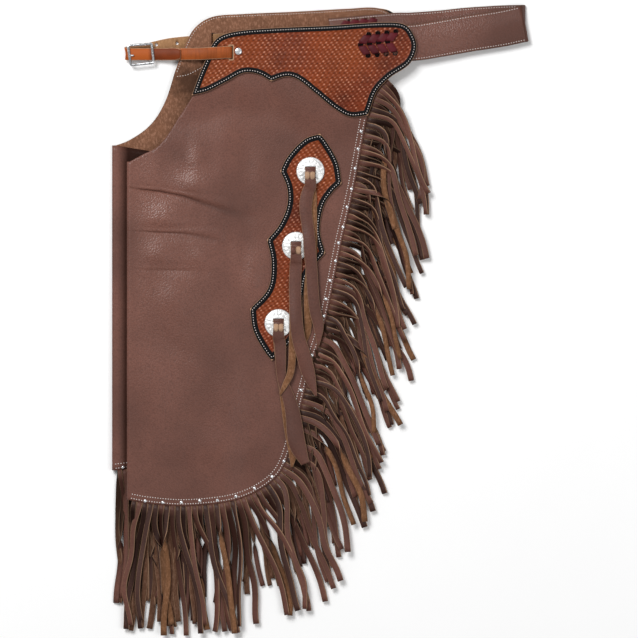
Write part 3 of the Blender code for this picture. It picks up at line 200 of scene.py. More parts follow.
# the under tail from its tip up, then the upper tail down to its tip
UNDER_TAILS = [
    [(-19, -35, 6, 3), (-15.5, -14, 6.4, 10), (-14, 34, 8.7, 14), (-11.5, 70, 8.7, 14),
     (-9.5, 100, 8.8, 14), (-9.5, 124, 8.7, 14), (-10, 166, 8.7, 14), (-11.5, 180, 8.9, 14.5)],
    [(-54.5, -106.5, 10.2, 3), (-47, -92, 10.6, 8), (-39, -72, 10.8, 10), (-36.5, -30, 10, 11),
     (-35.5, -6, 12, 12), (-35, 18, 10.6, 13), (-33, 45, 8.8, 14), (-32, 75, 8.9, 14.5)],
    [(-38, -208, 7.6, 3), (-37, -188, 7.5, 11), (-43, -150, 5.9, 13), (-51, -86, 6.3, 13),
     (-54.5, -55, 9, 14), (-56.5, -33, 9, 14.5)],
]
UPPER_TAILS = [
    [(-15, 178, 11.3, 17), (-17.8, 166, 10.7, 18), (-18.4, 150, 10.8, 17.5), (-16, 130, 11, 17),
     (-13.5, 110, 13.6, 17), (-12.5, 92, 13.4, 17), (-10.4, 68, 10.9, 16.5), (-8, 32, 11, 16),
     (-5.2, 10, 11, 16), (-0.5, -12, 10.6, 14), (-1, -38, 9, 3)],
    [(-32.5, 73, 10.9, 17), (-33.5, 45, 10.8, 17), (-33, 20, 12.6, 17), (-31.5, -6, 14.3, 18),
     (-28.5, -28, 13.4, 19), (-21.5, -52, 13, 20), (-14, -79, 11.6, 18), (-4, -108.5, 10.4, 3)],
    [(-54.5, -35, 11.3, 16.5), (-53.5, -60, 10.7, 15), (-51.5, -84, 8.3, 14),
     (-38, -126.5, 9.4, 20), (-31, -173, 11.6, 24), (-19, -203, 11.6, 12)],
]
# from here on, places are counted from the concho's middle and base: into the slot, out of it,
# the fill inside it, and one turn of the knot
STRING_IN = [(0, -20.5, 2.3, 14.5), (0, -15.7, 3.8, 14.5), (0, -8.8, 4.8, 14.5),
             (0, -1, 4.9, 14.5), (0, 1.4, 4, 14.5), (0, 2.2, 2.2, 14.5)]
STRING_OUT = [(0, 2.4, 1.4, 14), (0, 2.2, 4.6, 14), (0, 0.6, 6.4, 14.2), (0, -4.5, 6.8, 14.5),
              (0, -8.8, 6.8, 15), (0, -12, 6.5, 15.5), (0, -16.5, 6, 16), (0, -21.5, 5, 16.5)]
STRING_FILL = [(0, 6.2, 0.9, 14.6), (0, 4, 1.8, 14.6), (0, 1.8, 2, 14.6)]
KNOT_TURN = [(0, -0.2, 2.6, 5.4), (0, -1.6, 6.4, 6.6), (0, -4.2, 8.8, 7.2), (0, -7.4, 9, 7.2),
             (0, -9.8, 8, 6.4), (0, -11.2, 6.4, 5.2)]
# columns: shift along x, whether its flesh side shows
KNOTS = [[(-4.3, True), (3, True)], [(-4, False), (3.4, True)], [(-3.4, True), (3.6, True)]]

# Lacing: its first top, middle and bottom hole, the step to the next and the size of a hole
LACE_HOLES, LACE_FIRST = 4, ((69.5, 396.5), (58, 382), (68.5, 367))
LACE_PITCH, FAR_LACE_SHIFT, LACE_HOLE = (12.6, 1.2), (-28, 21), (6, 5.8)
# A lace's arch from one hole to the next. columns: share of the way, rise, width
LACE_ARCH = [(0.13, -1.7, 8.6), (0.17, 0.1, 9.2), (0.27, 0.8, 9.8), (0.50, 1, 10),
             (0.73, 0.8, 9.8), (0.83, 0.1, 9.2), (0.87, -1.7, 8.6)]
# Lacing holes one can see down through. The near yoke's others, out of reach of these, hold a
# dark disc each, painted shade for the hole's dark inside
OPEN_NEAR, OPEN_REACH, DISC_DEPTH = [(95.2, 367), (108.2, 367.8)], 4, 0.0016
OPEN_FAR = [(41.6, 416.6), (53.9, 416.2), (65.7, 417.2), (77, 418.4)]

# Fringe. columns: share of the way round, lean to the right of straight down (degrees), share of
# the full length
NEAR_FRINGE_ROWS = [(0, 5, 0.88), (0.06, 9, 0.94), (0.14, 16, 0.98), (0.30, 21, 1), (0.50, 22, 1),
                    (0.62, 19, 1), (0.72, 14, 1), (0.80, 10, 1), (0.90, 3, 1), (1, -3, 0.97)]
FAR_FRINGE_ROWS = [(0, 8, 0.88), (0.14, 16, 0.96), (0.50, 21, 0.97), (0.62, 17, 1), (0.72, 12, 1),
                   (0.80, 6, 1), (0.90, 2, 1), (1, -2, 1)]
FLAP_FRINGE_ROWS = [(0, 1, 1), (1, -1.5, 1)]
NEAR_FRINGE_START, FAR_FRINGE_START = (97, 337.5), (60, 339.5)
# The far layer's larger share of dark strands is painted shade under the near strands
# Seed, sway (degrees), share turned over, share dark, length under another layer (m)
NEAR_LOOK, FAR_LOOK = (11, 6.0, 0.17, 0.36, 0.0), (23, 5.0, 0.74, 0.6, 0.045)
NEAR_FLAP_LOOK, FAR_FLAP_LOOK = (37, 4.0, 0.2, 0.4, 0.012), (41, 4.0, 0.2, 0.4, 0.012)
# Base height, rise for each layer, highest layer, length of the fall from the edge
FAR_LEVELS = (0.0018, 0.0010, 1.2, 0.030)
NEAR_FLAP_LEVELS, FAR_FLAP_LEVELS = (0.0044, 0.0008, 1.0, 0.060), (0.0030, 0.0008, 1.0, 0.050)
# Studs between the near leg's two rows of stitches, and on the far flap. columns: x, y
STUDS = [(58.8, 261.8), (54.6, 237.3), (50.4, 210), (45.5, 181.3), (39.2, 156.1), (33.6, 128.1),
         (27.3, 105.7), (23.1, 80.5), (15.4, 53.2), (9.8, 27.3), (7, 3.5), (-9.8, -51.1),
         (-25.2, -100.1), (-30.8, -125.3), (-49, -199.5), (-65.8, -221.2), (-90.3, -237.3),
         (-116.2, -248.5), (-142.1, -254.1), (-166.6, -254.8), (-192.5, -256.9),
         (-218.4, -256.9), (-242.9, -254.8)]
FAR_STUD = (-274.4, -208)
# Where seams begin and end, and the length and rise of the one along the far flap's hem (m)
NEAR_SEAM_START, FAR_SEAM_END, HEM_SEAM = (66, 278), (109, 406.5), (0.03, 0.0036)

STAMP_SLANT = -0.43                 # how far the stamp's columns lean, for each metre along y
# Colours of finishes that no property gives
# STAMP_HIGHLIGHT is a painted highlight: the glints on the stamp's dots
STAMP_GLOW, STAMP_HIGHLIGHT = (0.240, 0.048, 0.008), (0.80, 0.38, 0.24)
STRAP_FLESH, BILLET = (0.33, 0.175, 0.085), (0.175, 0.032, 0.006)
# STRAND_SIDE is painted shade for the strands' cut sides
KNOT_FLESH, STRAND_SIDE = (0.42, 0.26, 0.165), (0.026, 0.012, 0.008)
STRAND, STRAND_FLESH = (0.120, 0.046, 0.032), (0.200, 0.092, 0.044)
# DARK is painted shade, for the discs inside lacing holes
DARK = (0.008, 0.004, 0.004)


# ---------------------------------------------------------------- sizes and colours
def length(name, text, default):
    """A size property in metres."""
    return FloatProperty(name=name, description=text, default=default, min=0.0, unit="LENGTH",
                         precision=5)


def colour(name, text, default):
    """A colour property."""
    return FloatVectorProperty(name=name, description=text, default=default, min=0.0, max=1.0,
                               size=3, subtype="COLOR")


class ChinksSizes(bpy.types.PropertyGroup):
    """Sizes that a maker would change."""

    panel_step: length("Panel step", "Spacing of a leg's surface points", 0.0027)
    stamp_step: length("Stamp step", "Spacing of the stamped leather's surface points", 0.00095)
    stamp_width: length("Stamp width", "Width of one impression of the stamp", 0.00735)
    stamp_row: length("Stamp row", "Height of one row of the stamp", 0.0065)
    stamp_depth: length("Stamp depth", "How deep the stamp goes", 0.00045)
    border_width: length("Border width", "Width of the black border", 0.0076)
    stitch: length("Stitch", "Length from one stitch to the next", 0.0036)
    thread: length("Thread", "Radius of the thread", 0.00056)
    stud: length("Stud", "Radius of a stud", 0.0023)
    strand_width: length("Strand width", "Width of a hanging strand", 0.0074)
    strand_thickness: length("Strand thickness", "Thickness of a strand", 0.0019)
    strand_length: length("Strand length", "Length of a strand", 0.182)
    strands: IntProperty(name="Strands", description="Strands along one leg", default=104, min=8)
    flap_strands: IntProperty(name="Flap strands", description="Strands along one folded flap",
                              default=14, min=2)


class ChinksColours(bpy.types.PropertyGroup):
    """Colours that a maker would change."""

    grain: colour("Grain", "Brown grain side of the legs", (0.142, 0.0575, 0.041))
    flesh: colour("Flesh", "Tan flesh side of the legs", (0.214, 0.100, 0.058))
    cut: colour("Cut edge", "Raw cut edge of the leather", (0.420, 0.245, 0.150))
    cognac: colour("Cognac", "Stamped leather", (0.150, 0.0235, 0.0055))
    strap: colour("Strap", "Front straps", (0.345, 0.078, 0.014))
    border: colour("Border", "Black border of the stamped leather", (0.004, 0.004, 0.005))
    thread: colour("Thread", "Sewing thread", (0.86, 0.78, 0.74))
    lace: colour("Lace", "Burgundy lace", (0.095, 0.010, 0.015))
    silver: colour("Silver", "Conchos", (0.93, 0.93, 0.92))
    chrome: colour("Chrome", "Buckle, rivets and studs", (0.84, 0.85, 0.87))
    floor: colour("Floor", "Surface under the garment", (0.97, 0.97, 0.97))


def sizes():
    """The sizes in use."""
    return bpy.context.scene.chinks_sizes


def colours():
    """The colours in use."""
    return bpy.context.scene.chinks_colours


# ---------------------------------------------------------------- paths and outlines
def ramp(value):
    """Ease from 0 to 1 as the value goes from 0 to 1."""
    t = np.clip(value, 0.0, 1.0)
    return t * t * (3.0 - 2.0 * t)


def table_column(rows, share, column):
    """Read a column of a table at a share of the way along it."""
    return np.interp(share, [row[0] for row in rows], [row[column] for row in rows])


def unit(ways):
    """The same ways, of length one."""
    return ways / np.linalg.norm(ways, axis=-1, keepdims=True)


def leftward(ways):
    """The way of length one to the left of each flat way."""
    return unit(np.stack((-ways[..., 1], ways[..., 0]), -1))


def beside(path, distance):
    """An open path moved to its left by a distance."""
    return path + leftward(np.gradient(path, axis=0)) * distance


def distances(path):
    """How far along a path each of its points is."""
    return np.concatenate(([0.0], np.cumsum(np.linalg.norm(np.diff(path, axis=0), axis=1))))


def along_path(path, goals):
    """Places at some distances along a path."""
    lengths = distances(path)
    return np.stack([np.interp(goals, lengths, column) for column in path.T], 1)


def path_points(path, step):
    """Places at an even step along an open path, with the way along it at each."""
    whole = distances(path)[-1]
    count = max(1, int(whole / step))
    goals = whole * (np.arange(count) + 0.5) / count
    places = along_path(path, goals)
    return places, unit(along_path(path, goals + step / 4) - places)


def spline_even(loop, step):
    """A closed loop with points an even step apart."""
    closed = np.concatenate((loop, loop[:1]))
    whole = distances(closed)[-1]
    count = round(whole / step)
    return along_path(closed, np.arange(count) / count * whole)


def nearest(path, place):
    """The number of the path's point nearest to a place in mm."""
    return int(np.argmin(np.linalg.norm(path - np.array(place) * MM, axis=1)))


def spline(rows, step, closed=False):
    """Points about a step apart on a smooth curve through the rows, with its corners kept sharp."""
    points = [np.array(row[:2]) * MM for row in rows]
    sharp = [len(row) > 2 for row in rows]
    count = len(points)
    result = []
    for i in range(count if closed else count - 1):
        a, b = points[i], points[(i + 1) % count]
        span = np.linalg.norm(b - a)
        start = b - points[i - 1] if (closed or i > 0) and not sharp[i] else b - a
        ends_smooth = (closed or i + 2 < count) and not sharp[(i + 1) % count]
        end = points[(i + 2) % count] - a if ends_smooth else b - a
        start, end = unit(start) * span, unit(end) * span
        pieces = max(1, round(span / step))
        t = (np.arange(pieces) / pieces)[:, None]
        result.append(a * (2 * t ** 3 - 3 * t ** 2 + 1) + start * (t ** 3 - 2 * t ** 2 + t)
                      + b * (3 * t ** 2 - 2 * t ** 3) + end * (t ** 3 - t ** 2))
    if not closed:
        result.append(points[-1][None, :])
    return np.concatenate(result)


def smooth_rows(rows, step):
    """Table rows (mm) as finer rows on a smooth curve through them, about a step (m) apart."""
    rows = np.array(rows, float) * MM
    padded = np.concatenate((2 * rows[:1] - rows[1:2], rows, 2 * rows[-1:] - rows[-2:-1]))
    result = []
    for i in range(1, len(padded) - 2):
        p0, p1, p2, p3 = padded[i - 1:i + 3]
        pieces = max(2, round(np.linalg.norm(p2[:3] - p1[:3]) / step))
        t = (np.arange(pieces) / pieces)[:, None]
        result.append(0.5 * (2 * p1 + (p2 - p0) * t + (2 * p0 - 5 * p1 + 4 * p2 - p3) * t ** 2
                             + (3 * p1 - p0 - 3 * p2 + p3) * t ** 3))
    return np.concatenate(result + [rows[-1:]])


def from_line(points, a, b, within=True):
    """Share of the way from a to b beside each point, and the gap from there to the point."""
    t = (points - a) @ (b - a) / ((b - a) @ (b - a))
    if within:
        t = np.clip(t, 0.0, 1.0)
    return t, points - a - t[:, None] * (b - a)


def edge_distance(points, loop):
    """Distance from each point to the nearest side of a closed loop."""
    best = np.full(len(points), 9.0)
    for a, b in zip(loop, np.roll(loop, -1, axis=0)):
        best = np.minimum(best, (from_line(points, a, b)[1] ** 2).sum(1))
    return np.sqrt(best)


def is_inside(points, loop):
    """Whether each point lies inside a closed loop."""
    inside = np.zeros(len(points), bool)
    x, y = points[:, 0], points[:, 1]
    for a, b in zip(loop, np.roll(loop, -1, axis=0)):
        if a[1] != b[1]:
            crosses = (a[1] > y) != (b[1] > y)
            inside ^= crosses & (x < a[0] + (b[0] - a[0]) * (y - a[1]) / (b[1] - a[1]))
    return inside


def cover(points, loop, margin, fall):
    """1 over the loop and its margin, easing to 0 over the fall outside it."""
    outside = 1.0 - ramp((edge_distance(points, loop) - margin) / fall)
    return np.where(is_inside(points, loop), 1.0, outside)


def clear_of(points, loop):
    """0 over the loop and close to it, easing to 1 outside it."""
    outside = ramp((edge_distance(points, loop) - DRAPE_CLEAR) / DRAPE_EASE)
    return np.where(is_inside(points, loop), 0.0, outside)


def hump(points, x, y, wide, tall):
    """1 at a place, fading out over a reach along x and along y (mm)."""
    apart = (points - np.array((x, y)) * MM) / (np.array((wide, tall)) * MM)
    return np.exp(-(apart ** 2).sum(1))


def rectangle(centre, size):
    """Corners of an upright rectangle, from a centre and a size in mm."""
    corners = np.array([(-1, -1), (1, -1), (1, 1), (-1, 1)]) * np.array(size) / 2
    return (corners + np.array(centre)) * MM


def circle(centre, radius, sides=10):
    """Points round a circle, from a centre and a radius in mm."""
    angle = np.arange(sides) * 2 * math.pi / sides
    return (np.stack((np.cos(angle), np.sin(angle)), 1) * radius + np.array(centre)) * MM


def almond(centre, wide, tall, tilt):
    """An almond outline, from a centre and sizes in mm."""
    angle = np.arange(12) * math.pi / 6
    x = np.cos(angle) * wide / 2
    y = np.sin(angle) * np.abs(np.sin(angle)) ** 0.3 * tall / 2
    turned = np.stack((x * math.cos(tilt) - y * math.sin(tilt),
                       x * math.sin(tilt) + y * math.cos(tilt)), 1)
    return (turned + np.array(centre)) * MM


def inset_ring(loop, depth):
    """Points inside a closed loop, at a depth from it."""
    ahead = np.roll(loop, -1, axis=0)
    area = (loop[:, 0] * ahead[:, 1] - ahead[:, 0] * loop[:, 1]).sum()
    ring = loop + leftward(ahead - np.roll(loop, 1, axis=0)) * depth * (1.0 if area > 0 else -1.0)
    return ring[edge_distance(ring, loop) > depth * 0.96]


NEAR_EDGE, FAR_EDGE = [NEAR_CROTCH[-1]] + NEAR_WAIST, [FAR_CROTCH[-1]] + FAR_WAIST
YOKE_LOOP, YOKE_COARSE = spline(YOKE, 0.0025, True), spline(YOKE, 0.011, True)
FAR_YOKE_COARSE = YOKE_COARSE + np.array(FAR_YOKE_SHIFT)
PATCH_LOOP = spline(PATCH, 0.0025, True)
BELT_LOOP, TAIL_LOOP = rectangle((90, 387), (152, 64)), rectangle((-128, 378), (48, 36))
NEAR_FOLD_X, FAR_FOLD_X = NEAR_CROTCH[0][0] * MM, FAR_CROTCH[0][0] * MM
NEAR_HEM_Y, FAR_HEM_Y = NEAR_SIDE[-1][1] * MM, FAR_SIDE[-1][1] * MM
NEAR_FLAP_TOP = FAR_CROTCH[0][1] * MM


# ---------------------------------------------------------------- heights of the layers
def raised(height, *parts):
    """A height function raised by thicknesses and gaps."""
    return lambda points: height(points) + sum(parts)


def strap_lift(points):
    """The far yoke's front end rides over the strap that passes under it."""
    return STRAP_LIFT * (1.0 - ramp((points[:, 0] - STRAP_LIFT_FROM) / STRAP_FALL))


def yoke_lift(points):
    """What lies over the far yoke rises with it."""
    return (YOKE_LIFT + strap_lift(points)) * cover(points, FAR_YOKE_COARSE, LATTICE, YOKE_FALL)


def fold_opening(distance):
    """Clear space inside a folded edge, at a distance from the fold."""
    share = np.minimum(1.0, distance / FLAP_WIDTH)
    return FOLD_OPENING + (FLAP_EDGE_OPENING - FOLD_OPENING) * share


def far_flap_even(points):
    """Middle of the far leg's folded flap, before it is pressed down beside its fold."""
    return LEG_THICKNESS * 1.5 + fold_opening(np.maximum(0.0, points[:, 0] - FAR_FOLD_X))


def far_flap_height(points):
    """Middle of the far leg's folded flap, which lies on the far leg."""
    distance = points[:, 0] - FAR_FOLD_X
    pressed = ramp((distance - PRESS_FROM) / PRESS_EASE)
    pressed *= 1.0 - ramp((distance - PRESS_TO) / PRESS_FADE)
    return far_flap_even(points) - PRESS_DEPTH * pressed


def crease(points, rows):
    """Depth of the troughs that a table gives."""
    total = np.zeros(len(points))
    for x0, y0, x1, y1, depth, half_width in rows:
        t, gap = from_line(points, np.array((x0, y0)) * MM, np.array((x1, y1)) * MM, False)
        along = np.sin(math.pi * np.clip(t, 0.0, 1.0)) ** 0.9
        gap = np.linalg.norm(gap, axis=1)
        total += depth * MM * along * (1.0 - ramp(gap / (half_width * MM)))
    return total


def fine_crease(points, ridge=0.6):
    """Depth of the sharper creases: a narrow valley with a ridge along its upper side."""
    total = np.zeros(len(points))
    for line in FINE_CREASES:
        nearest_gap, off = np.full(len(points), 9.0), np.zeros(len(points))
        depth, wide = np.zeros(len(points)), np.ones(len(points))
        for a, b in zip(np.array(line) * MM, np.array(line[1:]) * MM):
            way = b[:2] - a[:2]
            t, apart = from_line(points, a[:2], b[:2])
            gap = np.linalg.norm(apart, axis=1)
            above = np.sign(way[0] * apart[:, 1] - way[1] * apart[:, 0])
            closer = gap < nearest_gap
            nearest_gap, off = np.where(closer, (gap, gap * above), (nearest_gap, off))
            depth = np.where(closer, a[2] + (b[2] - a[2]) * t, depth)
            wide = np.where(closer, a[3] + (b[3] - a[3]) * t, wide)
        valley = 1.0 - ramp(np.abs(off + 0.4 * wide) / wide)
        crest = 1.0 - ramp(np.abs(off - 0.9 * wide) / (1.3 * wide))
        total += depth * (valley - ridge * crest)
    return total


def crease_points():
    """Closely set points along the sharpest creases."""
    rows = []
    for line in FINE_CREASES[:3]:
        path = np.array([row[:2] for row in line[:5]]) * MM
        middle = along_path(path, np.arange(0.002, distances(path)[-1], CREASE_STEP))
        rows += [beside(middle, shift * MM) for shift in CREASE_ROWS]
    return np.concatenate(rows)


def polish(points):
    """How rubbed and pebbly the near leg's grain is, and how strong its painted highlight."""
    return np.max([share * hump(points, *place) for *place, share in POLISH_AND_HIGHLIGHTS], axis=0)


def near_leg_height(points):
    """Middle of the near leg's leather, over everything that lies under it."""
    over = (yoke_lift(points) + BELT_LIFT * cover(points, BELT_LOOP, LATTICE, BELT_FALL)
            + TAIL_LIFT * cover(points, TAIL_LOOP, LATTICE, TAIL_FALL))
    distance = np.maximum(0.0, points[:, 0] - NEAR_FOLD_X)
    flap_top = near_flap_height(points) + LEG_THICKNESS / 2 + fold_opening(distance)
    beyond = 1.0 - ramp((distance - FLAP_WIDTH - LATTICE) / FLAP_FALL)
    above = 1.0 - ramp((points[:, 1] - NEAR_FLAP_TOP) / TAIL_FALL)
    flaps = (flap_top - NEAR_LEG_REST) * beyond * above
    sunk = np.minimum(crease(points, CREASES), CREASE_SHARE * fold_opening(distance)) * beyond
    return NEAR_LEG_REST + LEG_THICKNESS / 2 + over + flaps - sunk


def near_leg_draped(points):
    """The near leg with its swells and creases, none of them near what is sewn on it."""
    rise = sum(height * MM * hump(points, *place) for *place, height in SWELLS)
    rise -= crease(points, SOFT_CREASES) + fine_crease(points)
    return (near_leg_height(points)
            + rise * clear_of(points, PATCH_LOOP) * clear_of(points, YOKE_COARSE))


def far_yoke_height(points):
    """Middle of the far yoke's leather."""
    return YOKE_THICKNESS / 2 + strap_lift(points)


def far_belt_top(points):
    """Top of the far end of the belt."""
    return np.full(len(points), FAR_BELT_TOP)


def height_at(height, place):
    """A height function at one place in mm."""
    return float(height(np.array([place[:2]]) * MM)[0])


# Middles of the leather, then tops
far_leg_height = raised(yoke_lift, LEG_THICKNESS / 2)
near_flap_height = raised(far_flap_even, LEG_THICKNESS, LAYER_GAP)
near_yoke_height = raised(near_leg_height, LEG_THICKNESS / 2, SEWN_GAP, YOKE_THICKNESS / 2)
patch_height = raised(near_leg_height, LEG_THICKNESS / 2, SEWN_GAP, PATCH_THICKNESS / 2)
near_yoke_top = raised(near_yoke_height, YOKE_THICKNESS / 2)
patch_top = raised(patch_height, PATCH_THICKNESS / 2)
near_leg_top = raised(near_leg_draped, LEG_THICKNESS / 2)
far_leg_top = raised(far_leg_height, LEG_THICKNESS / 2)
far_flap_top = raised(far_flap_height, LEG_THICKNESS / 2)


# ---------------------------------------------------------------- mesh making
STRAP_SIDES = (0, 0, 2, 2, 2, 1, 2, 2, 2)       # round a strap: 0 its top, 1 its underside, 2 cut
# Kind 4, a strand's two cut sides, takes painted shade
STRAND_SIDES = (0, 0, 2, 4, 1, 4, 2)            # the same round a strand, with 4 its dark sides
# One stitch. columns: along it, rise, thickness
STITCH = [(-0.27, -1.4, 0.6), (-0.16, 0, 1), (0, 0.3, 1.1), (0.16, 0, 1), (0.27, -1.4, 0.6)]


def add_object(name, data):
    """A new object in the scene."""
    made = bpy.data.objects.new(name, data)
    bpy.context.scene.collection.objects.link(made)
    return made


def lifted(flat, height):
    """Flat points raised to a height function."""
    return np.column_stack((flat, height(flat)))


class Shell:
    """Gathers the parts of one piece: its points, its faces and the finish of each face."""

    def __init__(self):
        self.verts, self.faces, self.finishes, self.count = [], [], [], 0

    def add(self, verts, faces, finish=0):
        """Add points and faces; finish is one number or one for each face."""
        self.verts.append(np.asarray(verts, float).reshape(-1, 3))
        self.faces += [tuple(int(k) + self.count for k in face) for face in faces]
        self.finishes += [finish] * len(faces) if np.isscalar(finish) else list(finish)
        self.count += len(self.verts[-1])

    def build(self, name, finishes, nodes=(), merge=0.0):
        """Make the piece from the names of its finishes, and let it ride on the garment."""
        mesh = bpy.data.meshes.new(name)
        points = np.concatenate(self.verts) + LAYOUT_SHIFT
        mesh.from_pydata(points.tolist(), [], self.faces)
        mesh.polygons.foreach_set("material_index", np.array(self.finishes, np.int32))
        for key in finishes:
            mesh.materials.append(finish(key))
        if merge:
            bm = bmesh.new()
            bm.from_mesh(mesh)
            bmesh.ops.remove_doubles(bm, verts=bm.verts, dist=merge)
            bm.to_mesh(mesh)
            bm.free()
        mesh.shade_smooth()
        piece = add_object(name, mesh)
        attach(piece, "root")
        if nodes:
            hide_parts(*nodes)
        return piece


def paint(piece, name, share):
    """Paint a value on a piece's points, for its finish to use; share works it out from x and y."""
    count = len(piece.data.vertices)
    places = np.empty(count * 3)
    piece.data.vertices.foreach_get("co", places)
    values = share(places.reshape(-1, 3)[:, :2] - LAYOUT_SHIFT[:2]) if callable(share) else share
    layer = piece.data.attributes.new(name, "FLOAT", "POINT")
    layer.data.foreach_set("value", np.asarray(values, np.float32).ravel())


def ring_faces(rows, around, closed=False):
    """Faces between rows of points that go round; closed joins the last row to the first."""
    pairs = [(i * around, (i + 1) % rows * around) for i in range(rows if closed else rows - 1)]
    return [(low + j, high + j, high + (j + 1) % around, low + (j + 1) % around)
            for low, high in pairs for j in range(around)]


def across(path, width_way):
    """Ways across and up from each point of a path whose width mostly points one way."""
    along = unit(np.gradient(path, axis=0))
    level = along * np.array((1.0, 1.0, 0.0))
    side = unit(width_way - level * (level @ width_way)[:, None])
    return side, np.cross(along, side)


def sweep(shell, path, side, up, widths, section, finishes):
    """Sweep a section along a path; the third of its finishes closes the ends as well.

    Each point of the section has a share of half the width, an offset and a height.
    """
    reach = section[:, 0] * np.asarray(widths)[:, None] / 2 + section[:, 1]
    verts = (path[:, None, :] + side[:, None, :] * reach[..., None]
             + up[:, None, :] * section[:, 2, None])
    rows, around = len(path), len(section)
    ends = [tuple(range(around)), tuple(range(rows * around - 1, (rows - 1) * around - 1, -1))]
    shell.add(verts, ring_faces(rows, around) + ends,
              list(finishes) * (rows - 1) + [finishes[2]] * 2)


def strap(shell, rows, step, width_way, thickness, bevel, crown, finishes=STRAP_SIDES):
    """A strap of leather through table rows of x, y, z and width (mm)."""
    fine = smooth_rows(rows, step)
    fine[:, 2] = np.maximum(fine[:, 2], thickness / 2 + crown)
    side, up = across(fine[:, :3], np.array(width_way, float))
    t = thickness / 2
    section = [(-1, bevel, t), (0, 0, t + crown), (1, -bevel, t), (1, 0, t - bevel),
               (1, 0, bevel - t), (1, -bevel, -t), (-1, bevel, -t), (-1, 0, bevel - t),
               (-1, 0, t - bevel)]
    sweep(shell, fine[:, :3], side, up, fine[:, 3], np.array(section), finishes)


def triangulate(loop, holes, inner):
    """A panel's outline, holes and inner points, joined up into triangles."""
    points = [Vector(p) for p in loop]
    edges = []
    for hole in holes:
        first = len(points)
        points += [Vector(p) for p in hole]
        edges += [(first + k, first + (k + 1) % len(hole)) for k in range(len(hole))]
    points += [Vector(p) for p in inner]
    flat, _, faces = delaunay_2d_cdt(points, edges, [list(range(len(loop)))], 1, 1e-7)[:3]
    flat = np.array([tuple(p) for p in flat])
    faces = np.array([face for face in faces if len(face) == 3])
    for hole in holes:
        faces = faces[~is_inside(flat[faces].mean(1), hole)]
    return flat, faces


def lattice_points(loop, holes, spacing, clear):
    """A triangular lattice of points inside a loop, clear of its edges and holes."""
    rise = spacing * math.sqrt(3) / 2
    low, high = loop.min(0), loop.max(0)
    rows = np.arange(math.floor(low[1] / rise), math.ceil(high[1] / rise) + 1)
    columns = np.arange(math.floor(low[0] / spacing) - 1, math.ceil(high[0] / spacing) + 1)
    grid = np.stack(np.meshgrid(columns, rows), -1).reshape(-1, 2).astype(float)
    points = np.stack(((grid[:, 0] + (grid[:, 1] % 2) / 2) * spacing, grid[:, 1] * rise), 1)
    points = points[is_inside(points, loop)]
    points = points[edge_distance(points, loop) > clear]
    for hole in holes:
        points = points[~is_inside(points, hole)]
        points = points[edge_distance(points, hole) > spacing * 0.55]
    return points


def repeat(shell, form, origins, alongs, ups, finish=0):
    """Add one small form at each place, turned along its way."""
    template, faces = form
    sides = np.cross(ups, alongs)
    verts = (origins[:, None, :] + template[None, :, 0, None] * alongs[:, None, :]
             + template[None, :, 1, None] * sides[:, None, :]
             + template[None, :, 2, None] * ups[:, None, :])
    count = len(template)
    everyone = [tuple(k + i * count for k in face) for i in range(len(origins)) for face in faces]
    shell.add(verts, everyone, finish)


def upright(shell, form, places, finish=0):
    """Add a form standing on each place."""
    origins = np.array(places, float)
    alongs = np.tile((1.0, 0.0, 0.0), (len(origins), 1))
    ups = np.tile((0.0, 0.0, 1.0), (len(origins), 1))
    repeat(shell, form, origins, alongs, ups, finish)


def stitch_form(step, radius):
    """One stitch: a short thread whose two ends dip into the leather."""
    angles = [2 * math.pi * k / 5 for k in range(5)]
    verts = [(x * step, math.cos(angle) * radius * size, (z + math.sin(angle) * size) * radius)
             for x, z, size in STITCH for angle in angles]
    ends = [tuple(range(4, -1, -1)), tuple(range(len(verts) - 5, len(verts)))]
    return np.array(verts), ring_faces(len(STITCH), 5) + ends


def sew(shell, path, height, share=1.0):
    """A row of stitches along a flat path on a surface, in thread of a share of its thickness."""
    step = sizes().stitch
    places, along = path_points(path, step)
    ahead = places + along * step / 2
    origins = lifted(places, height)
    alongs = unit(lifted(ahead, height) - origins)
    sides = np.column_stack((leftward(along), np.zeros(len(along))))
    repeat(shell, stitch_form(step, sizes().thread * share), origins, alongs,
           np.cross(alongs, sides))


def sewn_round(shell, loop, inset, height):
    """A row of stitches all the way round, inside a loop."""
    ring = inset_ring(spline_even(loop, ROUND_STEP), inset)
    sew(shell, np.concatenate((ring, ring[:1])), height)


# ---------------------------------------------------------------- finishes
SHINE = "Specular IOR Level"


def shade(colour, factor):
    """A darker or lighter colour."""
    return tuple(min(1.0, part * factor) for part in colour)


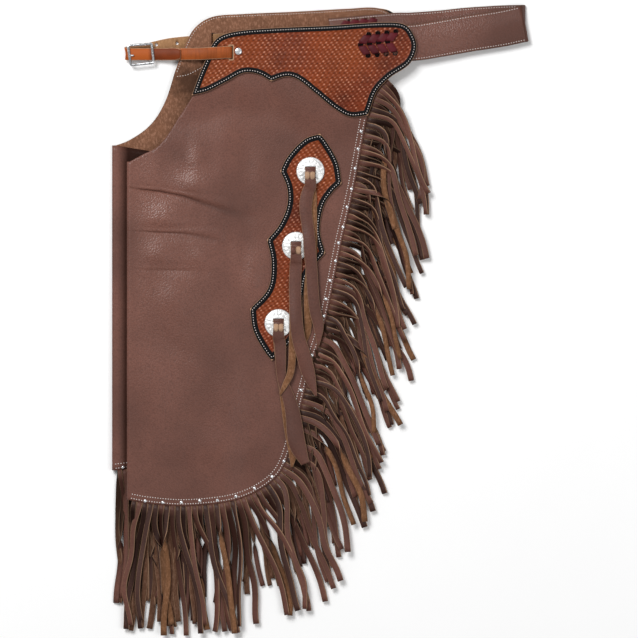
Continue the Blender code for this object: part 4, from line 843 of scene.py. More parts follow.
class Finish:
    """Builds one procedural material, node by node."""

    def __init__(self, name, colour, roughness, metallic=0.0):
        self.material = bpy.data.materials.new(name)
        self.material.use_nodes = True
        self.material.diffuse_color = (*colour, 1.0)
        self.tree = self.material.node_tree
        self.shader = self.tree.nodes["Principled BSDF"]
        self.give({"Base Color": colour, "Roughness": roughness, "Metallic": metallic})
        self.colour, self.tone = colour, colour
        self.place = self.node("TexCoord", {}).outputs["Object"]

    def put(self, socket, value):
        """Give a socket a value, or drive it with another node's output."""
        if isinstance(value, bpy.types.NodeSocket):
            self.tree.links.new(value, socket)
        else:
            socket.default_value = (*value, 1.0) if socket.type == "RGBA" else value

    def give(self, inputs):
        """Set or drive the shader's own inputs, by name."""
        for key, value in inputs.items():
            self.put(self.shader.inputs[key], value)

    def node(self, kind, inputs, **settings):
        """Add a node, with its own settings, and its inputs by name or position."""
        fresh = self.tree.nodes.new("ShaderNode" + kind)
        for key, value in settings.items():
            setattr(fresh, key, value)
        for key, value in inputs.items():
            self.put(fresh.inputs[key], value)
        return fresh

    def noise(self, scale, detail, roughness, place=None):
        """A noise value; the scale is in cells to the metre."""
        return self.node("TexNoise", {"Vector": place or self.place, "Scale": scale,
                                      "Detail": detail, "Roughness": roughness}).outputs["Fac"]

    def cells(self, scale):
        """The distance inside soft round cells; the scale is in cells to the metre."""
        return self.node("TexVoronoi", {"Vector": self.place, "Scale": scale},
                         feature="SMOOTH_F1").outputs["Distance"]

    def stretched(self, x, y, turn=0.0):
        """The place, scaled along x and y and turned."""
        return self.node("Mapping", {0: self.place, 2: (0, 0, turn), 3: (x, y, 1)}).outputs[0]

    def axes(self):
        """The place's x, y and z."""
        return self.node("SeparateXYZ", {0: self.place}).outputs

    def fit(self, value, low, high, to_low=0.0, to_high=1.0):
        """Map a value from one range to another, kept inside it."""
        return self.node("MapRange", {0: value, 1: low, 2: high, 3: to_low,
                                      4: to_high}).outputs["Result"]

    def math(self, operation, a, b=0.0):
        """A value worked out from two values."""
        return self.node("Math", {0: a, 1: b}, operation=operation).outputs[0]

    def mix(self, share, first, second):
        """A colour between two colours."""
        return self.node("Mix", {0: share, 6: first, 7: second}, data_type="RGBA").outputs[2]

    def painted(self, name):
        """A value painted on the piece's points, 0 where there is none."""
        return self.node("Attribute", {}, attribute_name=name).outputs["Fac"]

    def bump(self, height, depth, strength, under=None):
        """Relief of a real depth in metres, on top of another relief."""
        below = {"Normal": under} if under else {}
        return self.node("Bump", {"Strength": strength, "Distance": depth, "Height": height,
                                  **below}).outputs["Normal"]

    def begin(self, value, low, high, dark, light):
        """Start the colour: a value picks between two tones of it."""
        self.tone = self.mix(self.fit(value, low, high), shade(self.colour, dark),
                             shade(self.colour, light))

    def lay(self, share, tone):
        """Lay a colour, or a tone of the finish's own, over the colour so far."""
        over = shade(self.colour, tone) if np.isscalar(tone) else tone
        self.tone = self.mix(share, self.tone, over)

    def layers(self, *rows):
        """Lay tones of the finish's colour, each by a value, its range, the share and the tone."""
        for value, low, high, share, tone in rows:
            self.lay(self.fit(value, low, high, 0.0, share), tone)

    def done(self, relief, inputs):
        """The material, with its colour, its relief and more inputs of the shader."""
        self.give({"Base Color": self.tone, "Normal": relief, **inputs})
        return self.material


def finish_grain(name, colour, pebble=1.0, gloss=0.42, patch=0.24, shade_span=None):
    """Grain leather: soft patches of tone, and round pebbles that shine and take a painted
    highlight where it is rubbed.
    """
    look = Finish(name, colour, gloss)
    # rubbed carries real polish and a painted highlight; covered carries painted shade
    rubbed, covered = look.painted("polish"), look.painted("covered")
    # A shade span paints shade along x, by the far flap's fold, in place of covered
    if shade_span:
        covered = look.fit(look.axes()[0], *shade_span)
    pebbles, creased = look.cells(500), look.noise(620, 3, 0.6)
    look.begin(look.noise(9, 3, 0.55), 0.32, 0.68, 1.0 - patch, 1.0 + patch)
    # Over the random tone: painted highlight where rubbed, pebbles, painted shade in creases,
    # painted shade where covered
    look.layers((look.noise(60, 3, 0.6), 0.40, 0.72, 0.22, 0.72), (rubbed, 0, 1, 0.75, 1.52),
                (pebbles, 0.30, 0.75, 0.42, 0.5), (look.painted("crease"), 0.1, 1, 0.6, 0.35),
                (covered, 0, 1, 0.9, 0.10))
    relief = look.bump(creased, 0.0003 * pebble, 0.22)
    relief = look.bump(look.fit(pebbles, 0.05, 0.70, 1, 0), 0.0007 * pebble,
                       look.fit(rubbed, 0, 0.9, 0.26, 0.70), relief)
    rough = look.math("SUBTRACT", look.fit(creased, 0.30, 0.72, gloss - 0.04, gloss + 0.14),
                      look.fit(rubbed, 0, 1, 0, 0.12))
    # Less shine where the painted shade lies
    shine = look.math("MULTIPLY", look.fit(rubbed, 0, 1, 0.28, 0.50),
                      look.fit(covered, 0, 1, 1, 0.1))
    return look.done(relief, {"Roughness": rough, SHINE: shine})


def finish_flesh(name, colour, mottle=1.0, shaded_patches=()):
    """The napped flesh side: short soft fibres, rubbed patches, and painted shade in patches and
    where covered.
    """
    look = Finish(name, colour, 0.95)
    long_way = look.stretched(1, 0.45)
    fibres, rubbed = look.noise(1500, 5, 0.72, long_way), look.noise(34, 5, 0.66)
    nap = look.noise(400, 4, 0.75, long_way)
    look.begin(rubbed, 0.30, 0.68, 1.0 - 0.34 * mottle, 1.0 + 0.26 * mottle)
    look.layers((look.noise(110, 4, 0.7, long_way), 0.40, 0.66, 0.48 * mottle, 0.52),
                (look.noise(13, 3, 0.6), 0.40, 0.62, 0.50 * mottle, 0.50),
                (nap, 0.46, 0.58, 0.62 * mottle, 0.50))
    look.lay(look.fit(nap, 0.38, 0.48, 0.70 * mottle, 0),
             tuple(part * 1.35 + 0.035 for part in colour))
    look.layers((fibres, 0.35, 0.75, 0.5, 1.4))
    # Painted shade in the given patches
    for x, y, radius, share in shaded_patches:
        apart = look.node("VectorMath", {0: look.place, 1: (x * MM, y * MM, 0.002)},
                          operation="DISTANCE").outputs["Value"]
        edge = look.math("ADD", apart, look.fit(rubbed, 0.3, 0.7, -radius * 0.5, radius * 0.5))
        look.lay(look.fit(edge, radius * 0.4, radius * 1.3, share, 0), 0.22)
    # Painted shade where the piece is covered
    look.layers((look.painted("covered"), 0, 1, 0.9, 0.12))
    relief = look.bump(fibres, 0.0005, 0.6, look.bump(rubbed, 0.0016, 0.35))
    return look.done(relief, {"Sheen Weight": 0.06, "Sheen Roughness": 0.5, SHINE: 0.08})


def finish_cut(name, colour):
    """A raw cut edge: pale fibres, a little darker in places, with painted shade where covered."""
    look = Finish(name, colour, 0.85)
    fibres = look.noise(900, 4, 0.7)
    look.begin(fibres, 0.3, 0.7, 0.65, 1.25)
    # The second layer is painted shade where the piece is covered
    look.layers((look.noise(60, 2, 0.5), 0.4, 0.7, 0.5, 0.6),
                (look.painted("covered"), 0, 1, 0.9, 0.10))
    return look.done(look.bump(fibres, 0.0004, 0.6), {SHINE: 0.15})


def finish_stamped(name, colour):
    """Stamped leather: slanted rows of impressions with dark pits, and glossier dots that take a
    painted highlight.
    """
    look = Finish(name, colour, 0.40)
    x, y, _ = look.axes()

    def times(a, b):
        return look.math("MULTIPLY", a, b)

    slanted = look.math("ADD", x, times(y, STAMP_SLANT))
    u = look.math("COSINE", times(slanted, 2 * math.pi / sizes().stamp_width))
    v = look.math("COSINE", times(y, 2 * math.pi / sizes().stamp_row))
    both, either = look.math("ADD", u, v), look.math("SUBTRACT", v, u)
    glint_noise, fine = look.noise(150, 2, 0.6), look.noise(420, 4, 0.65)
    # Painted highlight dots, which are also given real gloss below
    dot = times(look.fit(both, 1.30, 1.85), look.fit(glint_noise, 0.36, 0.60, 0.1, 0.85))
    dot = times(dot, look.fit(look.noise(22, 2, 0.5), 0.42, 0.68, 0.22, 0.8))
    faint = times(look.fit(both, -1.75, -1.25, 1, 0), look.fit(glint_noise, 0.40, 0.62, 0, 0.45))
    pits = look.math("MAXIMUM", look.fit(either, 0.7, 1.7), look.fit(either, -1.8, -0.9, 0.6, 0))
    look.begin(look.noise(30, 4, 0.6), 0.30, 0.70, 0.62, 1.40)
    look.layers((look.noise(7.5, 2, 0.5), 0.40, 0.64, 0.75, STAMP_GLOW))
    look.lay(times(pits, look.fit(fine, 0.30, 0.60, 0.2, 0.65)), 0.25)
    look.lay(look.math("MAXIMUM", dot, faint), STAMP_HIGHLIGHT)
    relief = look.bump(fine, 0.0003, 0.5, look.bump(look.fit(both, -2, 2), 0.0006, 0.55))
    return look.done(relief, {"Roughness": look.fit(dot, 0, 1, 0.50, 0.32),
                              SHINE: look.fit(dot, 0, 1, 0.16, 0.5)})


def finish_smooth(name, colour, gloss=0.40, streaks=0.0, shine=0.18, highlight_span=None):
    """Smooth bridle leather: fine grain, rubbed patches, a waxed gloss, streaks across it, and a
    painted highlight along x where given.
    """
    look = Finish(name, colour, gloss)
    patches, fine = look.noise(45, 4, 0.6, look.stretched(0.5, 1)), look.noise(850, 4, 0.6)
    look.begin(patches, 0.30, 0.70, 0.66, 1.25)
    look.layers((fine, 0.35, 0.75, 0.35, 0.6))
    # Painted highlight: paler, towards the strap's colour, on one side of a span along x
    if highlight_span:
        look.lay(look.fit(look.axes()[0], *highlight_span, 1, 0), shade(colours().strap, 1.1))
    if streaks:
        lines = look.noise(420, 3, 0.6, look.stretched(1, 0.06))
        look.layers((lines, 0.44, 0.60, streaks, 0.50))
    rough = look.fit(patches, 0.3, 0.7, gloss - 0.05, gloss + 0.12)
    return look.done(look.bump(fine, 0.0002, 0.6), {"Roughness": rough, SHINE: shine})


def finish_thread(name, colour):
    """Twisted thread."""
    look = Finish(name, colour, 0.7)
    ply = look.noise(2600, 2, 0.5, look.stretched(1, 0.3, 0.8))
    look.begin(ply, 0.35, 0.65, 0.72, 1.1)
    look.layers((look.noise(120, 2, 0.5), 0.4, 0.7, 0.5, 0.62))
    return look.done(look.bump(ply, 0.0003, 0.7), {})


def finish_metal(name, colour, roughness, pitted, metallic):
    """Polished metal with faint wear; pitted is the depth of its cast texture in metres."""
    look = Finish(name, colour, roughness, metallic)
    wear = look.noise(220, 4, 0.6)
    look.begin(wear, 0.36, 0.60, 0.66, 1.0)
    rough = look.fit(wear, 0.30, 0.75, roughness * 0.8, roughness * 1.5)
    return look.done(look.bump(look.noise(1400, 3, 0.6), pitted, 0.4), {"Roughness": rough})


def finish_floor(name, colour):
    """Pale, faintly mottled surface."""
    look = Finish(name, colour, 0.85)
    look.begin(look.noise(3, 4, 0.6), 0.35, 0.65, 0.985, 1.0)
    return look.done(look.bump(look.noise(240, 3, 0.6), 0.0001, 0.3), {})


# What makes each finish, its name, its colour (a property's name or a colour), how far that is
# shaded, and the maker's own settings
FINISHES = {
    "grain": (finish_grain, "Brown grain leather", "grain", 1),
    # The far flap's grain takes painted shade along x by its fold
    "flap_grain": (finish_grain, "Grain leather, dark by the fold", "grain", 1, 1.0, 0.42, 0.24,
                   (-0.2835, -0.2690)),
    "leg_cut": (finish_cut, "Cut edge of the legs", "cut", 0.17),
    "knot": (finish_flesh, "Pale flesh side of the knots", KNOT_FLESH, 1, 0.5),
    "strand_shade_side": (finish_cut, "Dark side of the strands", STRAND_SIDE, 1),
    # Painted shade: the lower far strands' flesh side, darkened
    "under_flesh": (finish_flesh, "Flesh side of the lower strands", "flesh", 0.56, 0.8),
    "belt": (finish_grain, "Belt leather", "grain", 0.92, 1.2, 0.40),
    "belt_edge": (finish_cut, "Belt edge", "cut", 0.22),
    "strand": (finish_grain, "Fringe leather", STRAND, 1, 0.8, 0.50, 0.30),
    # Darker tone for strands picked at random; the far layer's larger share of it is painted shade
    "strand_dark": (finish_grain, "Dark fringe leather", STRAND, 0.42, 0.8, 0.50, 0.30),
    "flesh": (finish_flesh, "Tan flesh side", "flesh", 1, 1.0, SHADED_PATCHES),
    "strand_flesh": (finish_flesh, "Fringe flesh side", STRAND_FLESH, 1, 0.9),
    "cut": (finish_cut, "Raw cut edge", "cut", 1),
    "strand_cut": (finish_cut, "Fringe cut edge", "cut", 0.72),
    "stamped": (finish_stamped, "Stamped cognac leather", "cognac", 1),
    "border": (finish_smooth, "Black border", "border", 1, 0.6, 0.0, 0.10),
    "strap": (finish_smooth, "Cognac strap leather", "strap", 1, 0.52, 0.55, 0.16),
    # The billet is paler inside the buckle: a painted highlight
    "billet": (finish_smooth, "Dark billet leather", BILLET, 1, 0.46, 0.0, 0.14,
               (-0.2410, -0.2350)),
    "strap_flesh": (finish_flesh, "Strap flesh side", STRAP_FLESH, 1, 0.5),
    "lace": (finish_smooth, "Burgundy lace", "lace", 1, 0.55, 0.0, 0.16),
    "thread": (finish_thread, "White thread", "thread", 1),
    "silver": (finish_metal, "Engraved silver", "silver", 1, 0.32, 0.0001, 0.35),
    "chrome": (finish_metal, "Chrome", "chrome", 1, 0.16, 0.00002, 0.6),
    "buckle": (finish_metal, "Buckle steel", "chrome", 0.80, 0.20, 0.00002, 0.85),
    "dark": (finish_smooth, "Dark hole", DARK, 1, 0.8, 0.0, 0.05),
    "floor": (finish_floor, "Pale floor", "floor", 1),
}


def finish(name):
    """A finish, made the first time that it is asked for."""
    key = "chinks_" + name
    made = bpy.context.scene.get(key)
    if made is None or made.name not in bpy.data.materials:
        maker, title, colour, factor, *settings = FINISHES[name]
        if isinstance(colour, str):
            colour = getattr(colours(), colour)
        made = maker(title, shade(colour, factor), *settings)
        bpy.context.scene[key] = made
    return made


# ---------------------------------------------------------------- flat leather pieces
def make_leg(name, tables, heights, holes, spacing, finishes, nodes, extra=()):
    """A leg panel whose inner-thigh edge is folded back on itself as a flap."""
    crotch, waist, side = tables
    height, flap_height = heights
    upper = np.concatenate((spline(crotch, spacing)[:-1],
                            spline([crotch[-1]] + waist + side, spacing)))
    fold_x, top_y, hem_y = crotch[0][0] * MM, crotch[0][1] * MM, side[-1][1] * MM
    fold_ys = np.linspace(hem_y, top_y, round((top_y - hem_y) / spacing / 1.5) + 1)
    fold = np.column_stack((np.full(len(fold_ys), fold_x), fold_ys))
    loop = np.concatenate((upper, fold[1:-1]))
    inner = lattice_points(loop, holes, spacing, spacing * 0.6)
    if len(extra):
        tree = KDTree(len(extra))
        for k, place in enumerate(extra):
            tree.insert((*place, 0.0), k)
        tree.balance()
        clear = [tree.find((*place, 0.0))[2] > CREASE_CLEAR for place in inner]
        inner = np.concatenate((inner[clear], extra))
    flat, faces = triangulate(loop, holes, inner)
    shell = Shell()
    shell.add(lifted(flat, height), faces)

    panel_z, flap_z = height(fold)[:, None], flap_height(fold)[:, None]
    half = (panel_z - flap_z) / 2
    angle = (np.arange(FOLD_STEPS) * math.pi / FOLD_STEPS)[None, :]
    across_flap = (np.arange(FLAP_STEPS + 1) / FLAP_STEPS * FLAP_WIDTH)[None, :]
    share = ((fold_ys - hem_y) / (top_y - hem_y))[:, None]
    drop = FLAP_TOP_FALL * across_flap * share - FLAP_HEM_RISE * across_flap * (1.0 - share)
    x = np.hstack((fold_x - np.abs(half) * np.sin(angle), across_flap + fold_x + 0.0 * half))
    y = np.hstack((fold_ys[:, None] + 0.0 * angle, fold_ys[:, None] - drop))
    rest = np.stack((x[:, FOLD_STEPS:], y[:, FOLD_STEPS:]), -1).reshape(-1, 2)
    z = np.hstack(((panel_z + flap_z) / 2 + half * np.cos(angle),
                   flap_height(rest).reshape(len(fold_ys), -1)))
    wide = x.shape[1]
    quads = [(i + k, i + wide + k, i + wide + k + 1, i + k + 1)
             for i in range(0, (len(fold_ys) - 1) * wide, wide) for k in range(wide - 1)]
    shell.add(np.stack((x, y, z), -1), quads)
    piece = shell.build(name, finishes, nodes, merge=2e-6)
    solid = piece.modifiers.new("Leather thickness", "SOLIDIFY")
    solid.thickness, solid.offset = LEG_THICKNESS, 0.0
    solid.material_offset, solid.material_offset_rim = 1, 2
    return piece


def slab(shell, flat, faces, top, low, kinds, side_kind, low_kind):
    """A closed plate between a top and a lower height at each point of a flat shape."""
    count = len(flat)
    edges = np.concatenate((faces[:, [0, 1]], faces[:, [1, 2]], faces[:, [2, 0]]))
    open_ones = edges[~np.isin(edges[:, 0] * count + edges[:, 1],
                               edges[:, 1] * count + edges[:, 0])]
    walls = [(b, a, a + count, b + count) for a, b in open_ones]
    unders = [(c + count, b + count, a + count) for a, b, c in faces]
    shell.add(np.concatenate((np.column_stack((flat, top)), np.column_stack((flat, low)))),
              list(faces) + walls + unders,
              list(kinds) + [side_kind] * len(walls) + [low_kind] * len(unders))


def stamp(points):
    """Height of the stamp, 0 in its pits and 1 on each raised dot."""
    slanted = points[:, 0] + STAMP_SLANT * points[:, 1]
    u = np.cos(slanted * 2 * math.pi / sizes().stamp_width)
    v = np.cos(points[:, 1] * 2 * math.pi / sizes().stamp_row)
    return ramp(0.5 + (u + v) / 4)


def make_plate(name, loop, holes, height, thickness, step, nodes, wider=1.0):
    """A plate of stamped leather: cut edge, black border and the stamped field inside it."""
    border = sizes().border_width * wider
    rings = [inset_ring(loop, depth) for depth in (BEVEL * 0.5, BEVEL, border * 0.5)]
    fine = spline_even(loop, step)
    rings += [inset_ring(fine, border), inset_ring(fine, border + step)]
    field = lattice_points(loop, holes, step, border + step * 1.6)
    flat, faces = triangulate(loop, holes, np.concatenate(rings + [field]))
    depth = edge_distance(flat, loop)
    hole_depth = np.min([np.full(len(flat), 1.0)] + [edge_distance(flat, hole) for hole in holes],
                        axis=0)
    low = height(flat) - thickness / 2
    inner = ramp((depth - border) / (1.5 * step))
    round_off = 1.0 - (1.0 - np.minimum(depth / BEVEL, 1.0)) ** 2
    rounded = BEVEL * (1.0 - np.sqrt(np.clip(round_off, 0.0, 1.0)))
    sunk = (1.0 - stamp(flat)) * sizes().stamp_depth * inner + FIELD_DROP * inner
    sunk *= ramp(hole_depth / HOLE_EASE)
    top = low + thickness - rounded - sunk - EDGE_DROP * (1.0 - ramp(hole_depth / HOLE_LIP))
    centre = depth[faces].min(1)
    kinds = np.where(centre < BEVEL * 0.4, 2, np.where(centre < border - step * 0.2, 1, 0))
    # Faces touching a hole take the black border finish, painted shade round the hole; near the
    # slot they stay a pale cut edge
    kinds = np.where(hole_depth[faces].min(1) < 1e-5, 1, kinds)
    if holes:
        kinds = np.where(edge_distance(flat, holes[0])[faces].max(1) < 0.0024, 2, kinds)
    shell = Shell()
    slab(shell, flat, faces, top, low, kinds, 2, 3)
    return shell.build(name, ("stamped", "border", "cut", "flesh"), nodes)


# ---------------------------------------------------------------- fringe
def strand_roots(curve, begin, count):
    """Where the strands leave an edge, the way out there, and their pitch."""
    lengths = distances(curve)
    first = lengths[nearest(curve, begin)] + FRINGE_GAP
    pitch = (lengths[-1] - FRINGE_GAP - first) / count
    goals = first + pitch * (np.arange(count) + 0.5)
    along = along_path(curve, goals + pitch / 2) - along_path(curve, goals - pitch / 2)
    return along_path(curve, goals), np.arctan2(along[:, 0], -along[:, 1]), pitch


def clumped(random, group, shared, own):
    """Random values that groups of neighbouring strands share, each with a little of its own."""
    count = len(group)
    return random.normal(0.0, shared, count)[group] + random.normal(0.0, own, count)


def each(random, low, high, count):
    """One random value for each strand, down a column."""
    return random.uniform(low, high, count)[:, None]


def strand_ways(random, share, places, heading, rows, sway):
    """Seen from above: each strand leaves square to the edge, then hangs and sways.

    Gives the strands' groups, the distances along each strand and the places there.
    """
    count = len(places)
    group = np.repeat(np.arange(count), random.integers(2, 6, count))[:count]
    middle = np.bincount(group, np.arange(count)) / np.maximum(np.bincount(group), 1)
    loose = 1.0 + 0.4 * (1.0 - ramp(share / 0.2)) + 0.35 * ramp((share - 0.70) / 0.1)
    lean = np.radians(table_column(rows, share, 1)
                      + loose * clumped(random, group, 0.35 * sway, 0.75 * sway)
                      + (np.arange(count) - middle[group]))
    size = sizes().strand_length * table_column(rows, share, 2)
    size *= 1.0 + np.clip(random.normal(-0.01, 0.03, count), -0.08, 0.015)
    s = np.linspace(0.0, 1.0, STRAND_STEPS)[None, :] * size[:, None]
    start = each(random, 0.002, 0.015, count)
    reach = np.clip(0.046 + clumped(random, group, 0.008, 0.012), 0.022, 0.080)[:, None]
    bend = ramp((s - start) / reach)
    swing = np.radians(clumped(random, group, 0.5 * sway, 1.1 * sway))[:, None]
    swing = swing * np.sin(s / size[:, None] * 4.4) * ramp(s / 0.02)
    wave = np.radians(each(random, 0.2, 1.6, count) * sway)
    wave = wave * np.sin(s / each(random, 0.012, 0.022, count)
                         + each(random, 0.0, 6.3, count)) * ramp(s / 0.03)
    angle = heading[:, None] * (1.0 - bend) + (lean[:, None] - math.pi / 2) * bend + swing + wave
    ways = np.stack((np.cos(angle), np.sin(angle)), -1)
    moves = (ways[:, 1:] + ways[:, :-1]) / 2 * np.diff(s, axis=1)[..., None]
    flat = np.concatenate((np.zeros((count, 1, 2)), np.cumsum(moves, axis=1)), 1)
    return group, s, flat + (places[:, None, :] + ways[:, :1] * 0.0001)


def strand_tilts(random, group, s, arch, flip_share, covered):
    """How far each strand is turned about its length: it tilts, curls, and may turn over."""
    count = len(group)
    tilt = np.radians(8.0 + clumped(random, group, 9.0, 9.0))[:, None]
    tilt = tilt * ramp((s - covered) / 0.022)
    curl = np.clip(32.0 + clumped(random, group, 20.0, 10.0), -10.0, 66.0)
    curl = np.radians(curl * (0.25 + 0.75 * np.clip(arch / 0.0030, 0.0, 1.0)))[:, None]
    tilt = tilt + (curl * ramp((s - covered - 0.004) / 0.016)
                   * (1.0 - ramp((s - covered - 0.032) / 0.040)))
    flips = (random.uniform(0.0, 1.0, count) < flip_share) * random.choice([-1.0, 1.0], count)
    turn_at = covered + each(random, 0.020, 0.090 - covered * 0.6, count)
    return tilt + math.pi * flips[:, None] * ramp((s - turn_at) / 0.040)


def strand_mesh(path, tilt, wide, t):
    """Points of strands swept along their paths, and their faces; t is half the thickness."""
    along = unit(np.gradient(path, axis=1))
    side = np.concatenate((leftward(along), np.zeros_like(path[..., :1])), -1)
    up = np.cross(along, side)
    cos, sin = np.cos(tilt)[..., None], np.sin(tilt)[..., None]
    side, up = side * cos + up * sin, up * cos - side * sin
    section = np.array([(-1, 0.0004, t), (0, 0, t + 0.0003), (1, -0.0009, t), (1, 0, t - 0.0009),
                        (1, 0, -t), (-1, 0, -t), (-1, 0, t - 0.0004)])
    reach = section[:, 0] * wide[..., None] / 2 + section[:, 1]
    verts = (path[:, :, None, :] + side[:, :, None, :] * reach[..., None]
             + up[:, :, None, :] * section[:, 2, None])
    around = np.arange(len(section))
    first = np.arange(len(path))[:, None] * STRAND_STEPS * len(section)
    quads = first[..., None] + np.array(ring_faces(STRAND_STEPS, len(section)))
    tips = first + (STRAND_STEPS - 1) * len(section) + around[::-1]
    return verts, [*quads.reshape(-1, 4), *(first + around), *tips]


def make_fringe(name, roots, rows, look, levels, height, finishes, nodes):
    """Cut strands along an edge, in layers that cross each other."""
    places, heading, pitch = roots
    count = len(places)
    seed, sway, flip_share, dark_share, covered = look
    random = np.random.default_rng(seed)
    share = (np.arange(count) + 0.5) / count
    group, s, flat = strand_ways(random, share, places, heading, rows, sway)
    layer = (np.arange(count) * 2 + group // 3) % 5 - 2.0
    base, fall, arch = levels(share, 0.62 * layer + clumped(random, group, 0.15, 0.10))
    tilt = strand_tilts(random, group, s, arch, flip_share, covered)
    t = sizes().strand_thickness / 2
    wide = sizes().strand_width * each(random, 0.78, 1.08, count)
    wide = wide * (1.0 + 0.12 * ramp((share - 0.55) / 0.1))[:, None]
    wide = wide + (pitch * 0.97 - wide) * (1.0 - ramp(s / 0.016))

    root_z = np.maximum(height(places) - 0.0003, t + 0.0002)[:, None]
    lively = 0.0007 * np.sin(s / 0.016 + each(random, 0.0, 6.3, count))
    z = root_z + (base[:, None] + lively - root_z) * ramp(s / fall[:, None])
    z = z + arch[:, None] * np.sin(math.pi * np.clip(s / 0.055, 0.0, 1.0)) ** 2
    lowest = wide / 2 * np.abs(np.sin(tilt)) + t * np.abs(np.cos(tilt)) + 0.0005
    path = np.concatenate((flat, np.maximum(z, lowest)[..., None]), -1)

    verts, faces = strand_mesh(path, tilt, wide, t)
    kinds = np.tile(STRAND_SIDES, (count, STRAND_STEPS - 1, 1))
    dark = each(random, 0.0, 1.0, count)[..., None] < dark_share
    kinds = np.where((kinds == finishes.index("strand")) & dark, 3, kinds).ravel()
    shell = Shell()
    shell.add(verts, faces, list(kinds) + [2] * (2 * count))
    piece = shell.build(name, finishes, nodes)
    # Painted shade, as the 'covered' value: darker near the roots of strands that lie under others,
    # and of the lower layers
    hidden = (1.0 - ramp((s - covered * 0.8) / 0.130)) * min(1.0, covered / 0.03)
    low = np.clip((1.4 - layer) / 3.0, 0.0, 1.0)[:, None] * ramp((s - 0.002) / 0.010)
    hidden = np.maximum(hidden, 0.94 * low * (1.0 - ramp((s - 0.060) / 0.130)))
    paint(piece, "covered", np.repeat(hidden.ravel(), len(STRAND_SIDES)))
    return piece


def near_levels(share, lift):
    """Levels of the near strands; those that the concho strings cross stay low near the edge."""
    left = ramp((share - 0.66) / 0.14)
    crossed = ramp((share - 0.42) / 0.06) * (1.0 - ramp((share - 0.72) / 0.06))
    top = 1.0 - ramp(share / 0.12)
    base = 0.0068 + 0.0010 * left + np.clip(lift, -1.4, 2.4) * 0.0026
    low = np.maximum(np.maximum(left, top), crossed)
    return base, 0.030 + 0.040 * low, 0.0036 * (1.0 - low) * np.clip(1.0 + lift * 0.4, 0.2, 1.8)


def flat_levels(base, rise, highest, fall):
    """Levels of strands with no arch: base height, rise for each layer, and length of the fall."""
    return lambda share, lift: (base + np.clip(lift, -1.0, highest) * rise, fall + 0.0 * share,
                                0.0 * share)


# ---------------------------------------------------------------- hardware
def turned_form(profile, sides):
    """A turned form: profile rows of radius and height (mm), from the axis at the top down."""
    verts = [(0.0, 0.0, profile[0][1] * MM)]
    faces = []
    for radius, z in profile[1:]:
        verts += [(radius * MM * math.cos(2 * math.pi * k / sides),
                   radius * MM * math.sin(2 * math.pi * k / sides), z * MM) for k in range(sides)]
    last = len(verts) - sides
    for k in range(sides):
        j = (k + 1) % sides
        faces.append((0, 1 + k, 1 + j))
        faces += [(a + k, a + sides + k, a + sides + j, a + j) for a in range(1, last, sides)]
    faces.append(tuple(range(last + sides - 1, last - 1, -1)))
    return np.array(verts), faces


def closed_wire(shell, corners, z, wide, tall, round_radius, sides=12):
    """A closed frame of flattened wire with rounded corners, from corners in mm."""
    points = [np.array(corner) * MM for corner in corners]
    path = []
    for k, corner in enumerate(points):
        start = corner + unit(points[k - 1] - corner) * round_radius
        end = corner + unit(points[(k + 1) % len(points)] - corner) * round_radius
        path += [start * (1 - t) ** 2 + corner * 2 * t * (1 - t) + end * t ** 2
                 for t in np.linspace(0.0, 1.0, 7)]
    path = np.array(path)
    side = leftward(np.roll(path, -1, axis=0) - np.roll(path, 1, axis=0))
    angle = -np.arange(sides) * 2 * math.pi / sides
    ring = path[:, None, :] + side[:, None, :] * (np.cos(angle) * wide / 2)[None, :, None]
    heights = np.broadcast_to(z + np.sin(angle) * tall / 2, ring.shape[:2])
    shell.add(np.concatenate((ring, heights[..., None]), -1), ring_faces(len(path), sides, True))


def pierce(piece, places, radius):
    """Punch round holes through a piece, from places and a radius in mm."""
    for x, y in places:
        bm = bmesh.new()
        bmesh.ops.create_cone(bm, cap_ends=True, segments=20, radius1=radius * MM,
                              radius2=radius * MM, depth=0.06)
        bmesh.ops.translate(bm, verts=bm.verts,
                            vec=Vector((x * MM, y * MM, 0.0)) + Vector(LAYOUT_SHIFT))
        mesh = bpy.data.meshes.new("punch")
        bm.to_mesh(mesh)
        bm.free()
        punch = add_object("punch", mesh)
        hole = piece.modifiers.new("Hole", "BOOLEAN")
        hole.operation = "DIFFERENCE"
        hole.object = punch
        bpy.context.view_layer.update()
        solid = piece.evaluated_get(bpy.context.evaluated_depsgraph_get())
        fresh = bpy.data.meshes.new_from_object(solid)
        piece.modifiers.clear()
        piece.data = fresh
        bpy.data.objects.remove(punch)


def make_concho(number, place, base_z):
    """A slotted silver dome with a roped edge, a ring of petals and an engraved middle."""
    radius = CONCHO_RADIUS / MM
    slot = rectangle((0, CONCHO_SLOT_RISE), CONCHO_SLOT)
    points = np.concatenate([circle((0, 0), r, round(6.28 * r / CONCHO_STEP))
                             for r in np.arange(0.9, radius, CONCHO_STEP)])
    points = points[~is_inside(points, slot)]
    points = points[edge_distance(points, slot) > 0.0003]
    flat, faces = triangulate(circle((0, 0), radius, 120), [slot], points)
    share = np.linalg.norm(flat, axis=1) / CONCHO_RADIUS
    angle = np.arctan2(flat[:, 1], flat[:, 0])

    def band(middle, half_width):
        return np.exp(-((share - middle) / half_width) ** 2)

    relief = table_column(CONCHO_DOME, share, 1)
    relief += band(0.935, 0.035) * (0.30 + 0.16 * np.sin(angle * 44 + share * 30))
    relief += band(0.74, 0.10) * 0.20 * np.cos(angle * 18)
    relief -= 0.22 * band(0.86, 0.016) + 0.20 * band(0.58, 0.014)
    relief += 0.22 * np.sin(angle * 9 + share * 26.0) * np.sin(share * 34.0) * (share < 0.56)
    relief -= 0.35 * (1.0 - ramp(edge_distance(flat, slot) / 0.0010))
    shell = Shell()
    slab(shell, flat + np.array(place) * MM, faces, base_z + relief * MM,
         np.full(len(flat), base_z), np.zeros(len(faces), int), 0, 0)
    shell.build("concho_%d_face" % number, ("silver",), ["concho_%d" % number])


